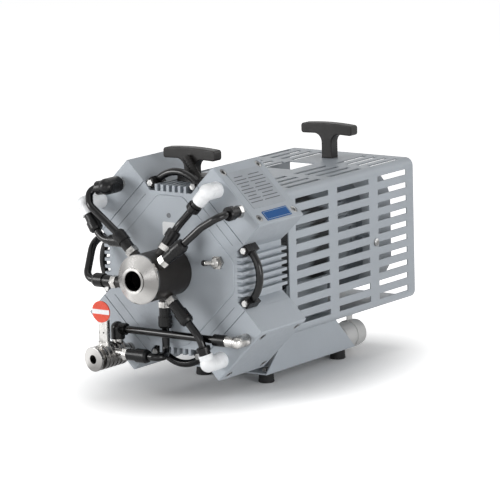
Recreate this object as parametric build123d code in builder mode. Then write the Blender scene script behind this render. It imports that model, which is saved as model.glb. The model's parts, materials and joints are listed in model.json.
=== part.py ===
from build123d import *
import os
from math import cos, radians, sin, sqrt

# Oil-free diaphragm pump: four twin-cylinder heads in an X round a crankcase, driven by a motor in a slotted guard.
# Pump places are (across, behind the heads' front plane, above the crank axis); at() turns them into the row frame.

os.makedirs("parts", exist_ok=True)

# ---- driving sizes, in mm --------------------------------------------------
floor_to_axis = 155.8
running_gap = 0.05  # radial, shaft in bush
seat_gap = 0.15  # loose fit of one fixed piece in another
free_gap = 0.3  # between pieces that pass each other

# crankcase and heads
block_depth = 91.6
head_joint = 103.0  # crank axis to the joint under each head
head_height = 34.4
head_width = 92.9
head_bevel = 1.6
head_angles = (45, 135, 225, 315)
head_names = ("ne", "nw", "sw", "se")
valley_flat = 95.0  # crank axis to the recessed flat between two heads
valley_half = 31.0
fin_count = 6
fin_pitch = 8.6
fin_thickness = 3.8
fin_height = 8.0
groove_radius = 90.0
groove_width = 0.6
groove_length = 74.0
joint_groove = 1.0  # wide and deep, along the joint under each head
chamber_radius = 72.0
rear_wall = 12.0
cover_flat = 91.0
cover_diagonal = 77.8
cover_thickness = 8.0
cover_proud = 1.0
cover_round = 14.0

# cylinders
station_front = 23.8
station_rear = 67.8
bore_radius = 20.0
diaphragm_radius = 21.5
diaphragm_thickness = 2.4
dome_radius = 18.5
dome_depth = 6.0
valve_radius = 6.0
valve_thickness = 1.0
valve_pocket = 3.0
valve_spread = 9.5

# ports in each head's front face: across and above the crank axis, the inner one first
ports = {
    "ne": ((69.0, 103.0), (102.0, 80.0)),
    "nw": ((-75.0, 100.0), (-106.0, 77.0)),
    "sw": ((-69.0, -103.0), (-106.0, -77.0)),
    "se": ((69.0, -103.0), (106.0, -74.5)),
}
port_radius = 5.0
port_depth = 14.0

# head screws
screw_shank = 3.0
screw_head = 5.0
screw_head_height = 5.0
screw_length = 52.0
screw_along = 35.5
screw_across = 36.0

# crank drive
eccentricity = 3.0
eccentric_radius = 11.0
front_journal = 6.0
middle_shaft = 7.6
rear_journal = 8.5
motor_shaft = 7.5
rod_pitch = 5.0
rod_thickness = 4.6
rod_ring = 17.5
rod_bush = 13.5
rod_shank_width = 9.0
rod_shank_depth = 19.0
rod_shank_start = 24.0
rod_disc_radius = 16.5
rod_disc_thickness = 3.0
rod_reach = 99.4
counterweight_radius = 46.0
counterweight_hub = 14.0
counterweight_thickness = 9.0

# bearings: outer radius, width
front_bearing = (14.0, 8.0)
rear_bearing = (17.5, 10.0)
motor_bearing = (16.0, 9.0)
bearing_race = 3.0
bearing_lip = 2.0

# motor
bell_length = 22.0
bell_radius = 58.0
motor_radius = 62.0
motor_wall = 5.0
motor_fin_height = 6.0
motor_fin_thickness = 2.4
motor_fin_count = 28
motor_length = 176.0
end_shield = 12.0
stator_inner = 35.5
stator_length = 96.0
rotor_radius = 35.0
cowl_width = 142.0
cowl_height = 150.0
cowl_corner = 42.0
cowl_length = 65.0
cowl_wall = 1.6
fan_radius = 52.0
fan_hub = 14.0
fan_blades = 8
fan_width = 26.0

# guard cage
cage_gap = 15.4  # clear space between the block and the cage
cage_length = 275.5
cage_width = 191.0
cage_top = 87.8
cage_bottom = -91.7
cage_wall = 1.5
cage_corner = 10.0
slot_height = 6.8
slot_pitch = 16.5
slot_rows = 10
slot_first = 72.1  # centre of the top row above the crank axis
slot_columns = ((122.9, 70.6), (212.5, 69.7), (301.9, 65.0))  # start, length
top_rows = (33.0, 49.5, 66.0, 82.5)
window_size = (40.0, 55.0)
window_centre = (-9.5, 264.5)
cage_screw_place = (296.0, -6.7)  # behind the front plane, above the axis

# base
foot_height = 11.6
foot_radius = 10.0
foot_screw = 3.0
sheet = 2.0
base_half = 57.0
base_front = 107.0
base_rear = 301.0
base_flange = 18.0
foot_across = base_half - 9.6
foot_front = base_front + 13.6
foot_rear = base_rear - 25.4
cradle_top = -30.0
cradle_inset = 4.0
capacitor_radius = 16.5
capacitor_length = 47.0
capacitor_across = 38.0
capacitor_end = 335.0
capacitor_height = 11.7  # its middle above the base's underside
capacitor_gap = 1.0
cradle_clearance = 0.02  # round the motor's fins
terminal_gap = 6.0  # between the terminal box and the cage
terminal_size = (62.0, 58.0)
terminal_place = 50.0  # behind the motor bell

# handles
bar_length = 77.0
bar_height = 13.5
bar_depth = 15.0
bar_crown = 2.0
bar_corner = 3.5
bar_edge = 1.4
stem_width = 15.5
stem_flare = 11.0
front_handle = (45.8, 142.9)  # behind the front plane, top of the bar above the axis
rear_handle = (337.0, 132.7)

# inlet
inlet_reach = 80.0
inlet_flange = 30.0
inlet_bore = 12.0
inlet_lead = 0.8
inlet_nose = 15.7
inlet_nose_length = 2.5
inlet_rim = 3.5
manifold_radius = 29.5
manifold_front = 65.0
manifold_edge = 1.0
manifold_floor = 20.0  # where its blind bore ends, in front of the heads

# outlet
outlet_flange = 15.3
outlet_bore = 5.5
outlet_reach = 62.0
barrel_radius = 15.3
post_radius = 6.8
sign_radius = 13.2
sign_thickness = 1.6

# hoses and fittings
hose_radius = 4.6
nut_across = 14.0
nut_height = 7.0
body_radius = 7.2

length = inlet_reach + block_depth + cage_gap + cage_length
front = -length / 2 + inlet_reach  # the heads' front plane in the row frame
cage_front = block_depth + cage_gap


# ---- frames and shared forms -----------------------------------------------
def at(x, y, z):
    """The row-frame point of a pump place."""
    return Vector(x, front + y, floor_to_axis + z)


def front_plane(y):
    """Upright plane seen from the front: local x across, local y up, facing forward."""
    return Plane(origin=at(0, y, 0), x_dir=(1, 0, 0), z_dir=(0, -1, 0))


def head_plane(angle, radius, y):
    """Plane square to one head's own direction: local x runs rearward, local y along the head's width."""
    out = Vector(cos(radians(angle)), 0, sin(radians(angle)))
    return Plane(origin=at(0, y, 0) + out * radius, x_dir=(0, 1, 0), z_dir=out)


def axis_plane(origin, direction):
    """Plane square to a direction, for round and hexagonal pieces stacked along it."""
    along = Vector(*direction).normalized()
    side = Vector(0, 0, 1) if abs(along.Z) < 0.9 else Vector(0, 1, 0)
    return Plane(origin=origin, x_dir=side.cross(along), z_dir=along)


def turned(origin, direction, outline):
    """Solid of revolution: outline lists (distance along, radius) round a closed half section."""
    base = axis_plane(origin, direction)
    with BuildPart() as piece:
        with BuildSketch(Plane(origin=origin, x_dir=base.x_dir, z_dir=base.x_dir.cross(base.z_dir))):
            with BuildLine():
                Polyline(*[(radius, along) for along, radius in outline], close=True)
            make_face()
        revolve(axis=Axis(origin, base.z_dir))
    return piece.part


def ring(y_start, width, outer, inner, across=0.0, up=0.0):
    """Plain ring about a line along the crank axis."""
    with BuildPart() as piece:
        with BuildSketch(front_plane(y_start)):
            with Locations((across, up)):
                Circle(outer)
                Circle(inner, mode=Mode.SUBTRACT)
        extrude(amount=-width)
    return piece.part


def hex_nut(origin, direction, across_flats=nut_across, height=nut_height, hole=0.0):
    """Hexagon nut with its outer corners turned off."""
    with BuildPart() as piece:
        with BuildSketch(axis_plane(origin, direction)):
            RegularPolygon(across_flats / 2, 6, major_radius=False)
            if hole:
                Circle(hole, mode=Mode.SUBTRACT)
        extrude(amount=height)
    return piece.part


def hose(points, radius, bends):
    """Round hose along straight runs joined by tangent arcs, one bend radius for each inner point."""
    with BuildPart() as piece:
        with BuildLine() as route:
            FilletPolyline(*points, radius=bends)
        with BuildSketch(Plane(origin=route.line @ 0, z_dir=route.line % 0)):
            Circle(radius)
        sweep()
    return piece.part


def leg(start, end, outline):
    """Fitting leg from start towards end: outline lists (share of the way, radius) steps."""
    way = end - start
    steps = [(share * way.length, radius) for share, radius in outline]
    return turned(start, way, [(steps[0][0], 0)] + steps + [(steps[-1][0], 0)])


def finish(piece, name):
    """Name a finished piece and write its STEP file."""
    piece.label = name
    export_step(piece, f"parts/{name}.step")


# ---- crankcase -------------------------------------------------------------
pad_edge = ((head_joint - head_width / 2) / sqrt(2), (head_joint + head_width / 2) / sqrt(2))


def octagon(inset=0.0):
    """Corners of the front cover's octagon, drawn in by an inset."""
    flat = cover_flat - inset
    corner = cover_diagonal * sqrt(2) - cover_flat - inset * (sqrt(2) - 1)
    return [
        (flat, -corner), (flat, corner), (corner, flat), (-corner, flat),
        (-flat, corner), (-flat, -corner), (-corner, -flat), (corner, -flat),
    ]


with BuildPart() as crankcase:
    with BuildSketch(front_plane(0)):
        for turn in range(4):
            with BuildLine(Plane.XY.rotated((0, 0, 90 * turn))):
                Polyline(
                    (0, 0), (valley_flat, -valley_half), (valley_flat, valley_half),
                    (pad_edge[1], pad_edge[0]), (pad_edge[0], pad_edge[1]), (valley_half, valley_flat),
                    close=True,
                )
            make_face()
    extrude(amount=-block_depth)
    with BuildSketch(front_plane(0)):
        with PolarLocations(valley_flat + fin_height / 2 - 0.5, 4):
            with GridLocations(1, fin_pitch, 1, fin_count):
                Rectangle(fin_height + 1, fin_thickness)
    extrude(amount=-block_depth)
    with BuildSketch(front_plane(0)):
        Circle(chamber_radius)
    extrude(amount=-(block_depth - rear_wall), mode=Mode.SUBTRACT)
    with BuildSketch(front_plane(0)) as recess:
        with BuildLine():
            Polyline(*octagon(), close=True)
        make_face()
        fillet(recess.vertices(), cover_round)
    extrude(amount=-(cover_thickness - cover_proud), mode=Mode.SUBTRACT)
    with BuildSketch(front_plane(0)):
        with PolarLocations(groove_radius, 4, start_angle=45):
            Rectangle(groove_width, groove_length)
    extrude(amount=-groove_width, mode=Mode.SUBTRACT)
    with BuildSketch(front_plane(0)):
        with PolarLocations(head_joint - joint_groove / 2, 4, start_angle=45):
            Rectangle(joint_groove, head_width)
    extrude(amount=-joint_groove, mode=Mode.SUBTRACT)
    for angle in head_angles:
        for station in (station_front, station_rear):
            with BuildSketch(head_plane(angle, chamber_radius - 10, station)):
                Circle(bore_radius)
            extrude(amount=head_joint, mode=Mode.SUBTRACT)
        with BuildSketch(head_plane(angle, head_joint, block_depth / 2)):
            with GridLocations(2 * screw_along, 2 * screw_across, 2, 2):
                Circle(screw_shank)
        extrude(amount=-(screw_length - head_height), mode=Mode.SUBTRACT)
    with BuildSketch(front_plane(block_depth)):
        Circle(rear_bearing[0])
    extrude(amount=rear_bearing[1], mode=Mode.SUBTRACT)
    with BuildSketch(front_plane(block_depth)):
        Circle(rear_bearing[0] - bearing_lip)
    extrude(amount=rear_wall, mode=Mode.SUBTRACT)
finish(crankcase.part, "crankcase")

# ---- front cover with its bearing boss and the vent hole -------------------
boss_radius = front_bearing[0] + 5
boss_end = station_front - 2 * rod_pitch - 2 * free_gap
vent_place = (68.6, 15.7)
vent_stem = 3.0
vent_nut = 15.0
vent_nut_height = 4.0
vent_reach = 16.0

with BuildPart() as front_cover:
    with BuildSketch(front_plane(-cover_proud)) as outline:
        with BuildLine():
            Polyline(*octagon(seat_gap), close=True)
        make_face()
        fillet(outline.vertices(), cover_round - seat_gap)
    extrude(amount=-(cover_thickness - 0.02))
    chamfer(front_cover.faces().sort_by(Axis.Y)[0].edges(), cover_proud * 0.8)
    with BuildSketch(front_plane(0)):
        Circle(boss_radius)
    extrude(amount=-boss_end)
    with BuildSketch(front_plane(boss_end)):
        Circle(front_bearing[0])
    extrude(amount=front_bearing[1], mode=Mode.SUBTRACT)
    with BuildSketch(front_plane(-cover_proud)):
        with Locations(vent_place):
            Circle(vent_stem)
    extrude(amount=-cover_thickness, mode=Mode.SUBTRACT)
finish(front_cover.part, "front_cover")

with BuildPart() as vent_nozzle:
    vent = at(vent_place[0], -cover_proud, vent_place[1])
    add(turned(vent, (0, 1, 0), [(0, 0), (0, vent_stem - running_gap), (6, vent_stem - running_gap), (6, 0)]))
    add(hex_nut(vent, (0, -1, 0), vent_nut, vent_nut_height))
    neck = vent - Vector(0, vent_nut_height, 0)
    add(turned(neck, (0, -1, 0), [(0, 0), (0, 5.6), (4, 5.6), (5, 4.6), (5, 0)]))
    pipe = neck - Vector(0, 2.5, 0)
    add(leg(pipe, pipe - Vector(vent_reach, 2, 1), [(0, 2.6), (0.75, 2.6), (0.75, 3.4), (1, 2.8)]))
finish(vent_nozzle.part, "vent_nozzle")

# ---- heads, diaphragms, valves and screws ----------------------------------
for angle, name in zip(head_angles, head_names):
    with BuildPart() as head:
        with BuildSketch(head_plane(angle, head_joint, block_depth / 2)):
            Rectangle(block_depth, head_width)
        extrude(amount=head_height)
        top = head_plane(angle, head_joint + head_height, block_depth / 2)
        chamfer(head.edges().filter_by_position(Axis(top.origin, top.z_dir), -0.1, 0.1), head_bevel)
        for station in (station_front, station_rear):
            with BuildSketch(head_plane(angle, head_joint, station)):
                Circle(diaphragm_radius + seat_gap)
            extrude(amount=diaphragm_thickness, mode=Mode.SUBTRACT)
            with BuildSketch(head_plane(angle, head_joint + diaphragm_thickness, station)):
                Circle(dome_radius)
            extrude(amount=dome_depth, taper=25, mode=Mode.SUBTRACT)
            with BuildSketch(head_plane(angle, head_joint + diaphragm_thickness, station)):
                with GridLocations(1, 2 * valve_spread, 1, 2):
                    Circle(valve_radius + seat_gap)
            extrude(amount=dome_depth + valve_pocket, mode=Mode.SUBTRACT)
        with BuildSketch(head_plane(angle, head_joint, block_depth / 2)):
            with GridLocations(2 * screw_along, 2 * screw_across, 2, 2):
                Circle(screw_shank + seat_gap)
        extrude(amount=head_height, mode=Mode.SUBTRACT)
        with BuildSketch(top):
            with GridLocations(2 * screw_along, 2 * screw_across, 2, 2):
                Circle(screw_head + seat_gap)
        extrude(amount=-(screw_head_height + 0.5), mode=Mode.SUBTRACT)
        with BuildSketch(front_plane(0)):
            with Locations(*ports[name]):
                Circle(port_radius)
        extrude(amount=-port_depth, mode=Mode.SUBTRACT)
    finish(head.part, f"head_{name}")

with BuildPart() as diaphragms:
    ripple = [
        (0, 0), (0, diaphragm_radius), (diaphragm_thickness, diaphragm_radius),
        (diaphragm_thickness, bore_radius - 3), (diaphragm_thickness * 0.7, bore_radius - 6),
        (diaphragm_thickness, bore_radius - 9), (diaphragm_thickness, 0),
    ]
    for angle in head_angles:
        for station in (station_front, station_rear):
            seat = head_plane(angle, head_joint, station)
            add(turned(seat.origin, seat.z_dir, ripple))
finish(diaphragms.part, "diaphragms")

with BuildPart() as valve_discs:
    roof = head_joint + diaphragm_thickness + dome_depth + valve_pocket
    for angle in head_angles:
        for station in (station_front, station_rear):
            with BuildSketch(head_plane(angle, roof, station)):
                with GridLocations(1, 2 * valve_spread, 1, 2):
                    Circle(valve_radius)
            extrude(amount=-valve_thickness)
finish(valve_discs.part, "valve_discs")

with BuildPart() as head_screws:
    for angle in head_angles:
        seat = head_plane(angle, head_joint + head_height - screw_head_height - 0.5, block_depth / 2)
        with BuildSketch(seat):
            with GridLocations(2 * screw_along, 2 * screw_across, 2, 2):
                Circle(screw_head)
        extrude(amount=screw_head_height)
        with BuildSketch(seat):
            with GridLocations(2 * screw_along, 2 * screw_across, 2, 2):
                Circle(screw_shank - running_gap)
        extrude(amount=-(screw_length - screw_head_height - 6))
        with BuildSketch(seat.offset(screw_head_height)):
            with GridLocations(2 * screw_along, 2 * screw_across, 2, 2):
                RegularPolygon(2.5, 6, major_radius=False)
        extrude(amount=-3, mode=Mode.SUBTRACT)
finish(head_screws.part, "head_screws")

# ---- crankshaft and what turns with it -------------------------------------
stack = 2 * rod_pitch  # half the width of four rods side by side
bell_rear = block_depth + bell_length
motor_rear = bell_rear + motor_length
cowl_rear = motor_rear + end_shield + cowl_length
shaft_end = fan_end = motor_rear + end_shield + 6 + fan_width
cover_pocket = boss_end - front_bearing[1]

with BuildPart() as crankshaft:
    segments = [
        (cover_pocket + 0.5, station_front - stack, front_journal, 0),
        (station_front - stack, station_front + stack, eccentric_radius, eccentricity),
        (station_front + stack, station_rear - stack, middle_shaft, 0),
        (station_rear - stack, station_rear + stack, eccentric_radius, -eccentricity),
        (station_rear + stack, bell_rear, rear_journal, 0),
        (bell_rear, shaft_end, motor_shaft, 0),
    ]
    for start, end, radius, lift in segments:
        with BuildSketch(front_plane(start)):
            with Locations((0, lift)):
                Circle(radius)
        extrude(amount=-(end - start))
finish(crankshaft.part, "crankshaft")

weight_gap = (station_rear - station_front - 2 * stack - 2 * counterweight_thickness) / 3
with BuildPart() as counterweights:
    front_weight = station_front + stack + weight_gap
    rear_weight = front_weight + counterweight_thickness + weight_gap
    for start, sense in ((front_weight, -1), (rear_weight, 1)):
        with BuildSketch(front_plane(start)):
            Circle(counterweight_radius)
            with Locations((0, -sense * counterweight_radius)):
                Rectangle(2 * counterweight_radius, 2 * counterweight_radius, mode=Mode.SUBTRACT)
            Circle(counterweight_hub)
            Circle(middle_shaft, mode=Mode.SUBTRACT)
        extrude(amount=-counterweight_thickness)
finish(counterweights.part, "counterweights")


def rod(angle, station, lift, layer):
    """Connecting rod: thin big-end ring in its own layer, shank centred on the cylinder, clamping disc on top."""
    start = station + (layer - 1.5) * rod_pitch - rod_thickness / 2
    centre = Vector(0, 0, lift)
    out = head_plane(angle, 0, station)
    foot = Plane(origin=out.origin + centre + out.z_dir * rod_shank_start, x_dir=out.x_dir, z_dir=out.z_dir)
    top = rod_reach - rod_disc_thickness
    with BuildPart() as piece:
        add(ring(start, rod_thickness, rod_ring, rod_bush, 0, lift))
        web = Plane(origin=at(0, start + rod_thickness / 2, 0) + centre + out.z_dir * (rod_ring - 2),
                    x_dir=out.x_dir, z_dir=out.z_dir)
        with BuildSketch(web):
            Rectangle(rod_thickness, rod_shank_width)
        extrude(amount=rod_shank_start - rod_ring + 4)
        with BuildSketch(foot):
            RectangleRounded(rod_shank_depth, rod_shank_width, 2)
        extrude(amount=top - rod_shank_start)
        with BuildSketch(foot.offset(top - rod_shank_start)):
            Circle(rod_disc_radius)
        extrude(amount=rod_disc_thickness)
        waist = foot.offset((top - rod_shank_start) / 2)
        for face in (-1, 1):
            with BuildSketch(Plane(origin=waist.origin + waist.y_dir * face * rod_shank_width / 2,
                                   x_dir=waist.x_dir, z_dir=waist.y_dir * face)):
                RectangleRounded(rod_shank_depth - 7, top - rod_shank_start - 16, 3)
            extrude(amount=-2.8, mode=Mode.SUBTRACT)
    return piece.part


for station, lift, place in ((station_front, eccentricity, "front"), (station_rear, -eccentricity, "rear")):
    with BuildPart() as rods:
        for layer, angle in enumerate(head_angles):
            add(rod(angle, station, lift, layer))
    finish(rods.part, f"rods_{place}")
    with BuildPart() as bushes:
        for layer in range(4):
            start = station + (layer - 1.5) * rod_pitch - rod_thickness / 2
            add(ring(start, rod_thickness, rod_bush, eccentric_radius + running_gap, 0, lift))
    finish(bushes.part, f"rod_bushes_{place}")

bearing_places = (
    (boss_end - front_bearing[1], front_bearing, front_journal),
    (block_depth - rear_bearing[1], rear_bearing, rear_journal),
    (motor_rear, motor_bearing, motor_shaft),
)
with BuildPart() as bearing_inner_rings:
    for start, (outer, width), bore in bearing_places:
        add(ring(start, width, bore + bearing_race, bore))
finish(bearing_inner_rings.part, "bearing_inner_rings")

with BuildPart() as bearing_outer_rings:
    for start, (outer, width), bore in bearing_places:
        add(ring(start, width, outer, bore + bearing_race + running_gap))
finish(bearing_outer_rings.part, "bearing_outer_rings")

# ---- motor -----------------------------------------------------------------
with BuildPart() as motor_bell:
    with BuildSketch(front_plane(block_depth)):
        Circle(bell_radius)
        Circle(rear_journal + 2, mode=Mode.SUBTRACT)
    extrude(amount=-6)
    with BuildSketch(front_plane(block_depth + 6)):
        Circle(bell_radius)
        Circle(bell_radius - 8, mode=Mode.SUBTRACT)
    extrude(amount=-(bell_length - 6))
    with BuildSketch(front_plane(bell_rear - 5)):
        Circle(motor_radius + 2)
        Circle(bell_radius - 8, mode=Mode.SUBTRACT)
    extrude(amount=-5)
finish(motor_bell.part, "motor_bell")

with BuildPart() as motor_housing:
    with BuildSketch(front_plane(bell_rear)):
        Circle(motor_radius)
        with PolarLocations(motor_radius + motor_fin_height / 2 - 0.5, motor_fin_count):
            Rectangle(motor_fin_height + 1, motor_fin_thickness)
        Circle(motor_radius - motor_wall, mode=Mode.SUBTRACT)
    extrude(amount=-motor_length)
finish(motor_housing.part, "motor_housing")

stator_start = bell_rear + (motor_length - stator_length) / 2
with BuildPart() as stator:
    add(ring(stator_start, stator_length, motor_radius - motor_wall, stator_inner))
    for start in (stator_start - 16, stator_start + stator_length):
        add(ring(start, 16, motor_radius - motor_wall - 5, stator_inner + 4))
finish(stator.part, "stator")

with BuildPart() as rotor:
    add(ring(stator_start, stator_length, rotor_radius, motor_shaft))
finish(rotor.part, "rotor")

with BuildPart() as rear_shield:
    with BuildSketch(front_plane(motor_rear)):
        Circle(motor_radius + 2)
        Circle(motor_bearing[0], mode=Mode.SUBTRACT)
    extrude(amount=-motor_bearing[1])
    with BuildSketch(front_plane(motor_rear + motor_bearing[1])):
        Circle(motor_radius + 2)
        Circle(motor_shaft + 1, mode=Mode.SUBTRACT)
    extrude(amount=-(end_shield - motor_bearing[1]))
finish(rear_shield.part, "rear_shield")

fan_start = motor_rear + end_shield + 6
with BuildPart() as fan:
    with BuildSketch(front_plane(fan_start)):
        Circle(fan_hub)
        Circle(motor_shaft, mode=Mode.SUBTRACT)
    extrude(amount=-fan_width)
    with BuildSketch(front_plane(fan_start)):
        Circle(fan_radius)
        Circle(motor_shaft, mode=Mode.SUBTRACT)
    extrude(amount=-2)
    with BuildSketch(front_plane(fan_start)):
        with PolarLocations((fan_hub + fan_radius) / 2 - 1, fan_blades):
            Rectangle(fan_radius - fan_hub + 1, 2.2)
    extrude(amount=-fan_width)
finish(fan.part, "fan")

with BuildPart() as fan_cowl:
    with BuildSketch(front_plane(motor_rear + end_shield)):
        RectangleRounded(cowl_width, cowl_height, cowl_corner)
    extrude(amount=-cowl_length)
    with BuildSketch(front_plane(motor_rear + end_shield + cowl_wall)):
        RectangleRounded(cowl_width - 2 * cowl_wall, cowl_height - 2 * cowl_wall, cowl_corner - cowl_wall)
    extrude(amount=-(cowl_length - 2 * cowl_wall), mode=Mode.SUBTRACT)
    with BuildSketch(front_plane(motor_rear + end_shield)):
        Circle(bell_radius)
    extrude(amount=-cowl_wall, mode=Mode.SUBTRACT)
    with BuildSketch(front_plane(cowl_rear - cowl_wall)):
        with GridLocations(9, 1, 11, 1):
            SlotOverall(84, 4.5, rotation=90)
    extrude(amount=-cowl_wall, mode=Mode.SUBTRACT)
finish(fan_cowl.part, "fan_cowl")

# ---- guard cage and how it is held -----------------------------------------
cage_height = cage_top - cage_bottom
cage_middle = (cage_top + cage_bottom) / 2
base_bottom = foot_height - floor_to_axis
base_top = cage_bottom
base_rise = base_top - base_bottom
cradle_start = base_front + base_rise + 2 * seat_gap
cradle_length = base_rear - base_rise - 2 * seat_gap - cradle_start
with BuildPart() as cage:
    with BuildSketch(front_plane(cage_front)):
        with Locations((0, cage_middle)):
            RectangleRounded(cage_width, cage_height, cage_corner)
            RectangleRounded(cage_width - 2 * cage_wall, cage_height - 2 * cage_wall,
                             cage_corner - cage_wall, mode=Mode.SUBTRACT)
    extrude(amount=-cage_length)
    with BuildSketch(Plane(origin=at(0, cradle_start + cradle_length / 2, cage_bottom), x_dir=(1, 0, 0),
                           z_dir=(0, 0, 1))):
        Rectangle(2 * (base_half - cradle_inset + free_gap), cradle_length + 2 * free_gap)
    extrude(amount=2 * cage_wall, mode=Mode.SUBTRACT)
    side_view = Plane(origin=at(cage_width, 0, 0), x_dir=(0, 1, 0), z_dir=(1, 0, 0))
    with BuildSketch(side_view):
        for start, slot in slot_columns:
            for row in range(slot_rows):
                with Locations((start + slot / 2, slot_first - row * slot_pitch)):
                    Rectangle(slot, slot_height)
    extrude(amount=-2 * cage_width, mode=Mode.SUBTRACT)
    top_view = Plane(origin=at(0, 0, cage_top), x_dir=(1, 0, 0), z_dir=(0, 0, 1))
    with BuildSketch(top_view):
        for start, slot in slot_columns:
            for row in top_rows:
                with Locations((row, start + slot / 2), (-row, start + slot / 2)):
                    Rectangle(slot_height, slot)
        with Locations(window_centre):
            Rectangle(*window_size)
    extrude(amount=-2 * cage_wall, mode=Mode.SUBTRACT)
    with BuildSketch(top_view):
        with Locations((0, rear_handle[0])):
            Circle(screw_shank)
    extrude(amount=-2 * cage_wall, mode=Mode.SUBTRACT)
    with BuildSketch(side_view):
        with Locations(cage_screw_place):
            Circle(screw_shank)
    extrude(amount=-2 * cage_width, mode=Mode.SUBTRACT)
finish(cage.part, "cage")

bracket_reach = cage_width / 2 - cage_wall
bracket_start = motor_rear + 0.4
bracket_length = end_shield - 0.8
bracket_sheet = 3.0
bracket_half = 9.0
with BuildPart() as cage_brackets:
    for side in (-1, 1):
        up = cage_screw_place[1]
        with BuildSketch(front_plane(bracket_start)):
            with BuildLine():
                Polyline(
                    (side * motor_radius, up + bracket_half), (side * bracket_reach, up + bracket_half),
                    (side * bracket_reach, up - bracket_half), (side * (bracket_reach - bracket_sheet), up - bracket_half),
                    (side * (bracket_reach - bracket_sheet), up + bracket_half - bracket_sheet),
                    (side * motor_radius, up + bracket_half - bracket_sheet), close=True,
                )
            make_face()
            Circle(motor_radius + 2, mode=Mode.SUBTRACT)
        extrude(amount=-bracket_length)
        with BuildSketch(Plane(origin=at(side * bracket_reach, *cage_screw_place), x_dir=(0, 1, 0),
                               z_dir=(side, 0, 0))):
            Circle(screw_shank)
        extrude(amount=-bracket_sheet, mode=Mode.SUBTRACT)
finish(cage_brackets.part, "cage_brackets")

with BuildPart() as cage_screws:
    for side in (-1, 1):
        outside = at(side * cage_width / 2, *cage_screw_place)
        add(turned(outside, (side, 0, 0), [
            (-cage_wall - 3, 0), (-cage_wall - 3, screw_shank - running_gap), (0, screw_shank - running_gap),
            (0, 5), (1.4, 5), (2.4, 3.6), (2.4, 0)]))
finish(cage_screws.part, "cage_screws")

# ---- base, feet, motor cradle and capacitor --------------------------------
with BuildPart() as base:
    with BuildSketch(front_plane(base_front)):
        with BuildLine():
            Polyline(
                (-base_half, base_bottom), (base_half, base_bottom), (base_half, base_top),
                (base_half - base_flange, base_top), (base_half - base_flange, base_top - sheet),
                (base_half - sheet, base_top - sheet), (base_half - sheet, base_bottom + sheet),
                (sheet - base_half, base_bottom + sheet), (sheet - base_half, base_top - sheet),
                (base_flange - base_half, base_top - sheet), (base_flange - base_half, base_top),
                (-base_half, base_top), close=True,
            )
        make_face()
    extrude(amount=-(base_rear - base_front))
    with BuildSketch(Plane(origin=at(2 * base_half, 0, 0), x_dir=(0, 1, 0), z_dir=(1, 0, 0))):
        for end, sense in ((base_front, 1), (base_rear, -1)):
            with BuildLine():
                Polyline(
                    (end, base_bottom + sheet), (end, base_top), (end + sense * base_rise, base_top),
                    (end + sense * sheet, base_bottom + sheet), close=True,
                )
            make_face()
    extrude(amount=-4 * base_half, mode=Mode.SUBTRACT)
    with BuildSketch(Plane(origin=at(0, (foot_front + foot_rear) / 2, base_bottom), x_dir=(1, 0, 0),
                           z_dir=(0, 0, 1))):
        with GridLocations(2 * foot_across, foot_rear - foot_front, 2, 2):
            Circle(foot_screw)
    extrude(amount=sheet, mode=Mode.SUBTRACT)
    notch_front = capacitor_end - capacitor_length - capacitor_gap
    notch_side = capacitor_across - capacitor_radius - capacitor_gap
    with BuildSketch(Plane(origin=at(0, 0, base_bottom), x_dir=(1, 0, 0), z_dir=(0, 0, 1))):
        with Locations(((notch_side + base_half - sheet) / 2, base_rear)):
            Rectangle(base_half - sheet - notch_side, 2 * (base_rear - notch_front))
    extrude(amount=sheet, mode=Mode.SUBTRACT)
finish(base.part, "base")

cradle_notch = 8.0
with BuildPart() as motor_cradle:
    with BuildSketch(front_plane(cradle_start)):
        with Locations((0, (base_top + cradle_top) / 2)):
            Rectangle(2 * (base_half - cradle_inset), cradle_top - base_top)
        Circle(motor_radius + motor_fin_height + cradle_clearance, mode=Mode.SUBTRACT)
        with Locations((0, base_top)):
            Rectangle(2 * (base_half - base_flange), cradle_notch, mode=Mode.SUBTRACT)
    extrude(amount=-cradle_length)
finish(motor_cradle.part, "motor_cradle")

foot_places = [
    at(across, along, -floor_to_axis) for across in (-foot_across, foot_across) for along in (foot_front, foot_rear)
]
with BuildPart() as feet:
    for place in foot_places:
        add(turned(place, (0, 0, 1), [
            (0, 4.5), (0, foot_radius - 1), (1, foot_radius), (foot_height, foot_radius - 1),
            (foot_height, foot_screw + running_gap), (4, foot_screw + running_gap), (4, 4.5)]))
finish(feet.part, "feet")

with BuildPart() as foot_screws:
    for place in foot_places:
        add(turned(place, (0, 0, 1), [
            (1.5, 0), (1.5, 4.4), (4, 4.4), (4, foot_screw), (foot_height + sheet + 3, foot_screw),
            (foot_height + sheet + 3, 0)]))
        add(hex_nut(place + Vector(0, 0, foot_height + sheet), (0, 0, 1), 9, 4, foot_screw))
finish(foot_screws.part, "foot_screws")

capacitor_up = base_bottom + capacitor_height
with BuildPart() as capacitor:
    add(turned(at(capacitor_across, capacitor_end - capacitor_length, capacitor_up), (0, 1, 0), [
        (0, 0), (0, capacitor_radius - 1), (1, capacitor_radius), (capacitor_length - 4, capacitor_radius),
        (capacitor_length, capacitor_radius - 4), (capacitor_length, 0)]))
finish(capacitor.part, "capacitor")

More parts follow.
